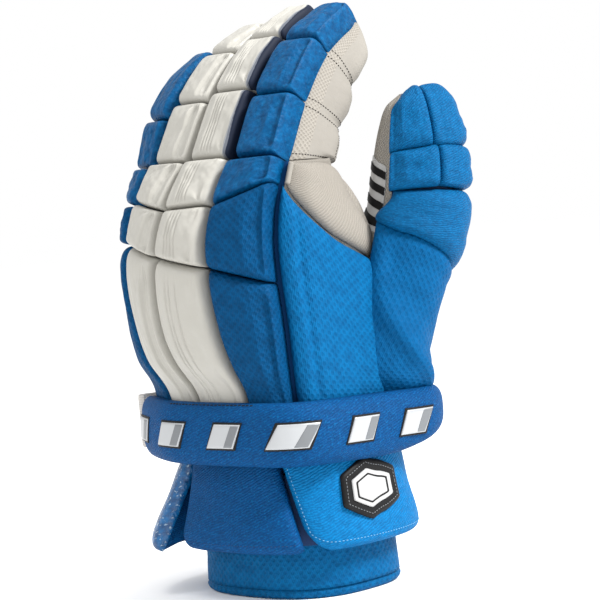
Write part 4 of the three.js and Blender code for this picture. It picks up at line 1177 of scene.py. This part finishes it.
def build_side(mats):
    def roll(a, b):
        edge = 1.6 * np.exp(-((a - 0.07) / 0.05) ** 2) - 1.2 * np.exp(-((a - 0.16) / 0.03) ** 2)
        return edge + 0.4 * value_noise(a, b, 3, 5)

    panel = pad_mesh("side_panel_cover", panel_surface(), fold_over(block(PANEL_FOAM, 0.15, 12, 12), roll),
                     [mats["mesh"]], (PAD_GRID * 2, PAD_GRID * 2), plan=rounded_plan(0.012))
    ride(panel, ["side_panel"])

    def cloth(a, b):
        roll = np.sqrt(np.maximum(0, 1 - np.abs(2 * b - 1) ** 2.6))
        return 0.3 * WEB_CLOTH + WEB_SWELL * roll * smoothstep(a, -0.05, 0.2) * smoothstep(1 - a, -0.05, 0.2)

    web = pad_mesh("thumb_web_cover", web_surface(), cloth, [mats["gusset"]],
                   (PAD_GRID * 2, PAD_GRID), floor=0)
    ride(web, ["thumb_web"])
    down = np.linspace(0.05, 0.97, 16)
    _, fold, out = web_surface()(0.012 + 0 * down, down)
    cord_along("web_fold", fold + out * 2.2, 1.5, mats["grey"])


def build_sleeve(mats):
    columns = 260
    turn = 360 * np.arange(columns) / columns
    half = SLEEVE_WALL / 2
    tall = SLEEVE_TOP - RIM - half
    outer = [SLEEVE_TOP - k * tall / SLEEVE_CUTS for k in range(SLEEVE_CUTS)]
    inner = [RIM + half + k * tall / 12 for k in range(1, 13)]
    line = [(z, drawn_in(z)) for z in outer]
    line += [(RIM + half + half * math.sin(t), -half - half * math.cos(t))
             for t in np.linspace(2 * math.pi, math.pi, 16)]
    line += [(z, drawn_in(z) - SLEEVE_WALL) for z in inner]
    points = np.stack([sleeve_point(turn, z, out) for z, out in line])
    u = arc_lengths(points, 1)
    uvs = np.stack(np.meshgrid(u, arc_lengths(points, 0)), -1)
    # Painted shadow: the sleeve between the flaps, above their feet, takes the deep blue
    above = np.array([row < SLEEVE_CUTS and z > FLAP_DROP + 4 for row, (z, _) in enumerate(line)])
    shadow_between_flaps = (turn > SLEEVE_SHADE[0]) & (turn < SLEEVE_SHADE[1])
    marks = (above[:, None] & shadow_between_flaps).astype(int).ravel()
    faces = grid_faces(len(line), columns, wrap_columns=True, wrap_rows=True)
    made = make_mesh("wrist_sleeve_cover", points, faces, uvs, [mats["mesh"], mats["deep"]], marks,
                     closed_length(points, u))
    ride(made, ["wrist_sleeve"])


def flap_plan(left, right):
    """Rounds the two lower corners of a flap. left and right are their sizes as shares of its two sides."""
    def plan(a, b):
        rise = 0
        for (wide, tall), distance in ((left, a), (right, 1 - a)):
            share = np.clip(1 - distance / wide, 0, 1)
            rise = np.maximum(rise, tall * (1 - np.sqrt(np.maximum(0, 1 - share ** 2))))
        return a, mix(rise, 1, b)
    return plan


def build_flaps(mats):
    # Sizes of the two lower corners, then the row of stitches, the cloth and the thread. The thumb-side
    # flap's knit is the lighter copy, painted light; the other flaps' is the darker copy, painted shade
    details = {
        "flap_thumb_side": ((0.16, 0.3), (0.1, 0.2), through((0.035, 0.98), (0.035, 0.07), (0.97, 0.07)),
                            "knit", "light_thread"),
        "flap_back": ((0.15, 0.2), (0.1, 0.05), through((0.04, 0.06), (0.97, 0.06)), "knit_painted_shade", "deep"),
        "flap_pinky_side": ((0.08, 0.15), (0.05, 0.07), through((0.03, 0.06), (0.8, 0.06)),
                            "knit_painted_shade", "deep"),
    }
    for name, (left, right, line, cloth, thread) in details.items():
        def lumps(a, b, seed=len(name)):
            return 0.6 * value_noise(a, b, seed, 4)

        height = fold_over(block(FLAP_FOAM, 0.3, 14, 10), lumps)
        surface, plan = flap_surface(*FLAPS[name]), flap_plan(left, right)
        band = (lambda a, b: int(a > BAND_FROM)) if name == "flap_pinky_side" else None
        made = pad_mesh(name + "_cover", surface, height, [mats[cloth], mats["band"]],
                        (PAD_GRID * 2, PAD_GRID), floor=0, plan=plan, wall=band)
        ride(made, [name])
        seam = pad_path(surface, plan, height, *line, lift=0.1)
        stitches(name + "_stitches", [seam], mats[thread], FLAP_THREAD)


def strap_plan(a, b):
    """Rounds the strap's two ends, and lets its lower edge rise towards the thumb."""
    end = 0.05
    share = np.clip(1 - np.minimum(a, 1 - a) / end, 0, 1)
    half = 0.5 * np.sqrt(np.maximum(0, 1 - 0.75 * share ** 2))
    rise = 0.3 * np.clip((a - 0.74) / 0.2, 0, 1) ** 2
    return a, mix(rise, 1, 0.5 + (2 * b - 1) * half)


def build_strap(mats):
    wrap = wrap_ring(lambda turn: STRAP_OFFSET)
    ends = (share_of(wrap, STRAP["from"]) - 1, share_of(wrap, STRAP["to"]))
    surface = wrap_surface(wrap, ends, (STRAP_FLOOR, STRAP_TOP))
    body = block(STRAP_FOAM, 0.2, 30, 3.2)
    # A darker copy of the knit, as painted shade
    made = pad_mesh("wrist_strap_cover", surface, body, [mats["knit_painted_shade"]], (PAD_GRID * 4, PAD_GRID),
                    floor=0, plan=strap_plan)
    ride(made, ["wrist_strap"])
    line = pad_path(surface, strap_plan, body, *through((0.004, 0.12), (0.004, 0.88)), lift=-1.0)
    cord_along("strap_piping", line, 0.7, mats["deep"])
    row = pad_path(surface, strap_plan, body, *through((0.22, 0.975), (0.46, 0.975)), lift=0.1)
    stitches("strap_stitches", [row], mats["black"], STRAP_THREAD)
    build_bars(wrap, mats)


def build_bars(wrap, mats):
    """Plain slanted bars on the strap: a black edge, a silver face and a darker part at its right, painted
    shade on the foil.
    """
    round_length = wrap[1][-1]
    bars = [share_of(wrap, STRAP["barsFrom"]) - 1, share_of(wrap, STRAP["barsTo"])]
    middle = STRAP_FLOOR + STRAP_HEIGHT / 2
    layers = (("edge", 0, 1, 1.0, 0.45, "black"), ("face", 0, 1, 0.0, TRIM_RUBBER, "silver"),
              ("shade", 0.62, 1, -0.5, TRIM_RUBBER + 0.2, "dull"))
    for i in range(STRAP["bars"]):
        start = mix(bars[0], bars[1], i / STRAP["bars"])
        for layer, low, high, grow, lift, look in layers:
            tall = TRIM_HEIGHT / 2 + grow
            span = (start + (low * TRIM_LENGTH - grow) / round_length,
                    start + (high * TRIM_LENGTH + grow) / round_length)
            patch = wrap_surface(wrap, span, (middle - tall, middle + tall), TRIM_SLANT / round_length)
            bar = pad_mesh(f"strap_bar_{i + 1}_{layer}", patch,
                           lambda a, b, lift=lift: STRAP_FOAM + lift * block(1, 0.5, 30, 30)(a, b),
                           [mats[look]], (24, 12), floor=STRAP_FOAM * 0.7)
            if layer == "face":
                ride(bar, [f"strap_bar_{i + 1}"])
            else:
                ride(bar)


def build_webbing(mats):
    def offset(turn):
        away = smoothstep(abs(turn - WEBBING["middle"]), WEBBING["tight"], WEBBING["loose"])
        loop = WEBBING["loop"] * math.exp(-((turn - WEBBING["loopAt"]) / 6) ** 2)
        return mix(STRAP_EASE, STRAP_OFFSET + STRAP_FOAM / 4, away) + loop

    wrap = wrap_ring(offset)
    ends = (share_of(wrap, STRAP["to"] + WEBBING["clear"]), share_of(wrap, STRAP["from"] - WEBBING["clear"]))
    floor = STRAP_TOP - TAB_HEIGHT - SEAM
    made = pad_mesh("strap_webbing_cover", wrap_surface(wrap, ends, (floor, floor + TAB_HEIGHT)),
                    block(TAB_WEBBING - SEAM, 0.5, 30, 30), [mats["webbing"]], (PAD_GRID * 3, 12), floor=0)
    ride(made, ["strap_webbing"])


def hexagon(theta):
    """Reach of the badge's outline at an angle, 1 at its corners."""
    sector = (theta - math.radians(BADGE["tilt"])) % (math.pi / 3) - math.pi / 6
    return math.cos(math.pi / 6) / np.cos(sector)


def badge_point(reach, theta, lift):
    """A point of the badge, which follows the thumb-side flap; lift is its height over the flap."""
    x = reach * np.cos(theta) * BADGE_WIDTH / 2
    z = BADGE["height"] * GLOVE_LENGTH + reach * np.sin(theta) * BADGE_HEIGHT / math.sqrt(3)
    _, _, flare, bend, foot = FLAPS["flap_thumb_side"]
    b = (z - foot) / (FLAP_TOP - foot)
    out = drawn_in(z) + SEAM + flare * FLAP_FLARE * (1 - b) ** bend + FLAP_FOAM + SEAM
    step = sleeve_point(BADGE["turn"] + 3, 0, 0) - sleeve_point(BADGE["turn"] - 3, 0, 0)
    return sleeve_point(BADGE["turn"] + x * 6 / np.linalg.norm(step), z, out + lift)


def badge_layer(share, low, high, name, material):
    """A flat hexagon with softened edges."""
    sides, rings = 72, 14
    radius = np.concatenate([np.linspace(0, 1, rings), [1]])
    theta = 2 * math.pi * np.arange(sides) / sides
    grid_r, grid_t = np.meshgrid(radius, theta, indexing="ij")
    edge = np.sqrt(np.maximum(0, 1 - grid_r ** 14))
    lift = low + (high - low) * (0.6 + 0.4 * edge)
    lift[-1] = low - 1.0
    reach = share * grid_r * hexagon(grid_t)
    points = badge_point(reach, grid_t, lift)
    faces = grid_faces(len(radius), sides, wrap_columns=True)
    uvs = np.stack([reach * np.cos(grid_t), reach * np.sin(grid_t)], -1) * BADGE_WIDTH / 2
    return make_mesh(name, points, faces, uvs, [material])


def build_badge(mats):
    base = badge_layer(1.0, 0, BADGE_RUBBER, "badge_cover", mats["black"])
    ride(base, ["badge"])
    top = BADGE_RUBBER + BADGE_INLAY
    inlay = badge_layer(BADGE_INLAY_SHARE, BADGE_RUBBER, top, "badge_inlay_cover", mats["pale"])
    ride(inlay, ["badge_inlay"])
    for name, share, lift, look in (("ring", 0.48, 0.15, "black"), ("middle", 0.42, 0.3, "pale")):
        ride(badge_layer(share, top, top + lift, f"badge_{name}", mats[look]))
    around = np.linspace(0, 2 * math.pi, 200)
    row = badge_point(0.82 * hexagon(around), around, BADGE_RUBBER + 0.05)
    stitches("badge_stitches", [row], mats["dull"], BADGE_THREAD)


# Scene

def build_stage():
    floor = bpy.data.meshes.new("floor")
    corners = [(x * FLOOR_REACH, y * FLOOR_REACH, 0) for x, y in ((-1, -1), (1, -1), (1, 1), (-1, 1))]
    floor.from_pydata(corners, [], [(0, 1, 2, 3)])
    made = bpy.data.objects.new("floor", floor)
    bpy.context.scene.collection.objects.link(made)
    # As light as the studio round it, so that the floor's far edge doesn't show
    floor.materials.append(plain("floor_paint", 0xFFFFFF, 1.0, specular=0))


def build_camera():
    azimuth, elevation, roll = (math.radians(x) for x in (VIEW_AZIMUTH, VIEW_ELEVATION, VIEW_ROLL))
    back = Vector((math.sin(azimuth) * math.cos(elevation), -math.cos(azimuth) * math.cos(elevation),
                   math.sin(elevation)))
    side = Vector((math.cos(azimuth), math.sin(azimuth), 0))
    top = back.cross(side)
    right = side * math.cos(roll) - top * math.sin(roll)
    up = side * math.sin(roll) + top * math.cos(roll)
    camera = bpy.data.objects.new("camera", bpy.data.cameras.new("camera"))
    bpy.context.scene.collection.objects.link(camera)
    place = Vector(to_frame(np.array(VIEW_TARGET) + VIEW_DISTANCE * np.array(back)))
    turn = Matrix((right, up, back)).transposed().to_4x4()
    camera.matrix_world = Matrix.Translation(place) @ turn
    camera.data.sensor_width = SENSOR
    camera.data.lens = VIEW_DISTANCE / VIEW_SCALE / PHOTO_PIXELS * SENSOR
    camera.data.clip_start = 0.05
    bpy.context.scene.camera = camera
    return side, top, back


def area_light(name, place, target, size, power):
    data = bpy.data.lights.new(name, "AREA")
    data.shape = "SQUARE"
    data.size = size
    data.energy = power
    lamp = bpy.data.objects.new(name, data)
    bpy.context.scene.collection.objects.link(lamp)
    lamp.location = place
    lamp.rotation_mode = "QUATERNION"
    lamp.rotation_quaternion = (Vector(place) - Vector(target)).to_track_quat("Z", "Y")


def build_lights(side, top, back):
    target = Vector((0, 0, LIT_HEIGHT))
    for name, (aside, nearer, above), size, power in LAMPS:
        area_light(name, target + side * aside + back * nearer + top * above, target, size, power)
    world = bpy.data.worlds.new("studio")
    bpy.context.scene.world = world
    world.use_nodes = True
    world.node_tree.nodes["Background"].inputs["Color"].default_value = (1, 1, 1, 1)
    world.node_tree.nodes["Background"].inputs["Strength"].default_value = 1.0
    bpy.context.scene.view_settings.view_transform = "Standard"


def make_materials():
    return {
        "mesh": blue_mesh("blue_mesh"),
        # Pale grey and grey steps of the painted shade on the middle finger pads' side
        "shade_haze": plain("painted_shade_pale_grey", 0x85878A, 0.5, specular=0.3),
        "shade_dusk": plain("painted_shade_grey", 0x5C6068, 0.6, specular=0.2),
        # Darker copies of the blue mesh, painted shade on pieces that lie in shade
        "mesh_painted_shade": blue_mesh("blue_mesh_painted_shade", 0x01436F, 0x01233F),
        "mesh_painted_half_shade": blue_mesh("blue_mesh_painted_half_shade", 0x015081, 0x013A62),
        # Copies of the blue knit: the first lighter, as painted light, the others darker, as painted shade
        "knit": blue_knit("blue_knit", 0x026CA6, 0x023A66),
        "knit_painted_half_shade": blue_knit("blue_knit_painted_half_shade", 0x015788, 0x022C50),
        "knit_painted_shade": blue_knit("blue_knit_painted_shade", 0x014479, 0x012347),
        "white": white_leather("white_leather"),
        # Dark blue-grey, the deepest step of the painted shade on the middle finger pads' side
        "shade_navy": plain("painted_shade_dark", 0x131B2C, 0.6, specular=0.15),
        "satin": blue_satin("blue_satin"),
        "band": glossy_band("glossy_band"),
        "grey": grey_leather("grey_leather"),
        "gusset": ribbed_gusset("ribbed_gusset"),
        "airmesh": grey_airmesh("grey_airmesh"),
        # Deep blue of threads, piping and the thumb stall under its pads, also painted as shadow on the
        # sleeve between the flaps
        "deep": plain("deep_blue_and_painted_shadow", 0x062C58, 0.8),
        "thread": plain("dark_thread", 0x24211E, 0.7, specular=0.2),
        "light_thread": plain("light_thread", 0x6F9DBC, 0.7, specular=0.2),
        "groove": plain("groove", 0x042A50, 0.9, specular=0.1),
        "black": plain("black_rubber", 0x0C0C0D, 0.55, specular=0.2),
        "silver": plain("silver_foil", 0xA4A6A8, 0.35, 0.3),
        "pale": plain("pale_rubber", 0xA9A9A8, 0.45),
        # Grey foil of the badge's stitches, also the painted shade on the bars' silver face
        "dull": plain("dull_foil_and_painted_shade", 0x6B6E71, 0.4, 0.3),
        "webbing": webbing_cloth("pale_webbing"),
    }


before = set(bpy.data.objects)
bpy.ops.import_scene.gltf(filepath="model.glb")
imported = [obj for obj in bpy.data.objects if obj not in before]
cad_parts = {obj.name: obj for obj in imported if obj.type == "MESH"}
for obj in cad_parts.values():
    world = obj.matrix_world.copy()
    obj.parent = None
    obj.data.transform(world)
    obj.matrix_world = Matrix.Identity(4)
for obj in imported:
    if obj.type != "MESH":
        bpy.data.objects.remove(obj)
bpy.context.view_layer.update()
sleeve_low, sleeve_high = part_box("wrist_sleeve")
sleeve_middle = (sleeve_low + sleeve_high) * 500
SHIFT = np.array([
    SLEEVE_CENTRE[0] * HAND_WIDTH - sleeve_middle.x, SLEEVE_CENTRE[1] * HAND_DEPTH - sleeve_middle.y,
    RIM - sleeve_low.z * 1000,
])
looks = make_materials()
build_shell(looks)
build_stalls(looks)
build_back(looks)
build_thumb(looks)
build_side(looks)
build_sleeve(looks)
build_flaps(looks)
build_strap(looks)
build_webbing(looks)
build_badge(looks)
build_stage()
build_lights(*build_camera())
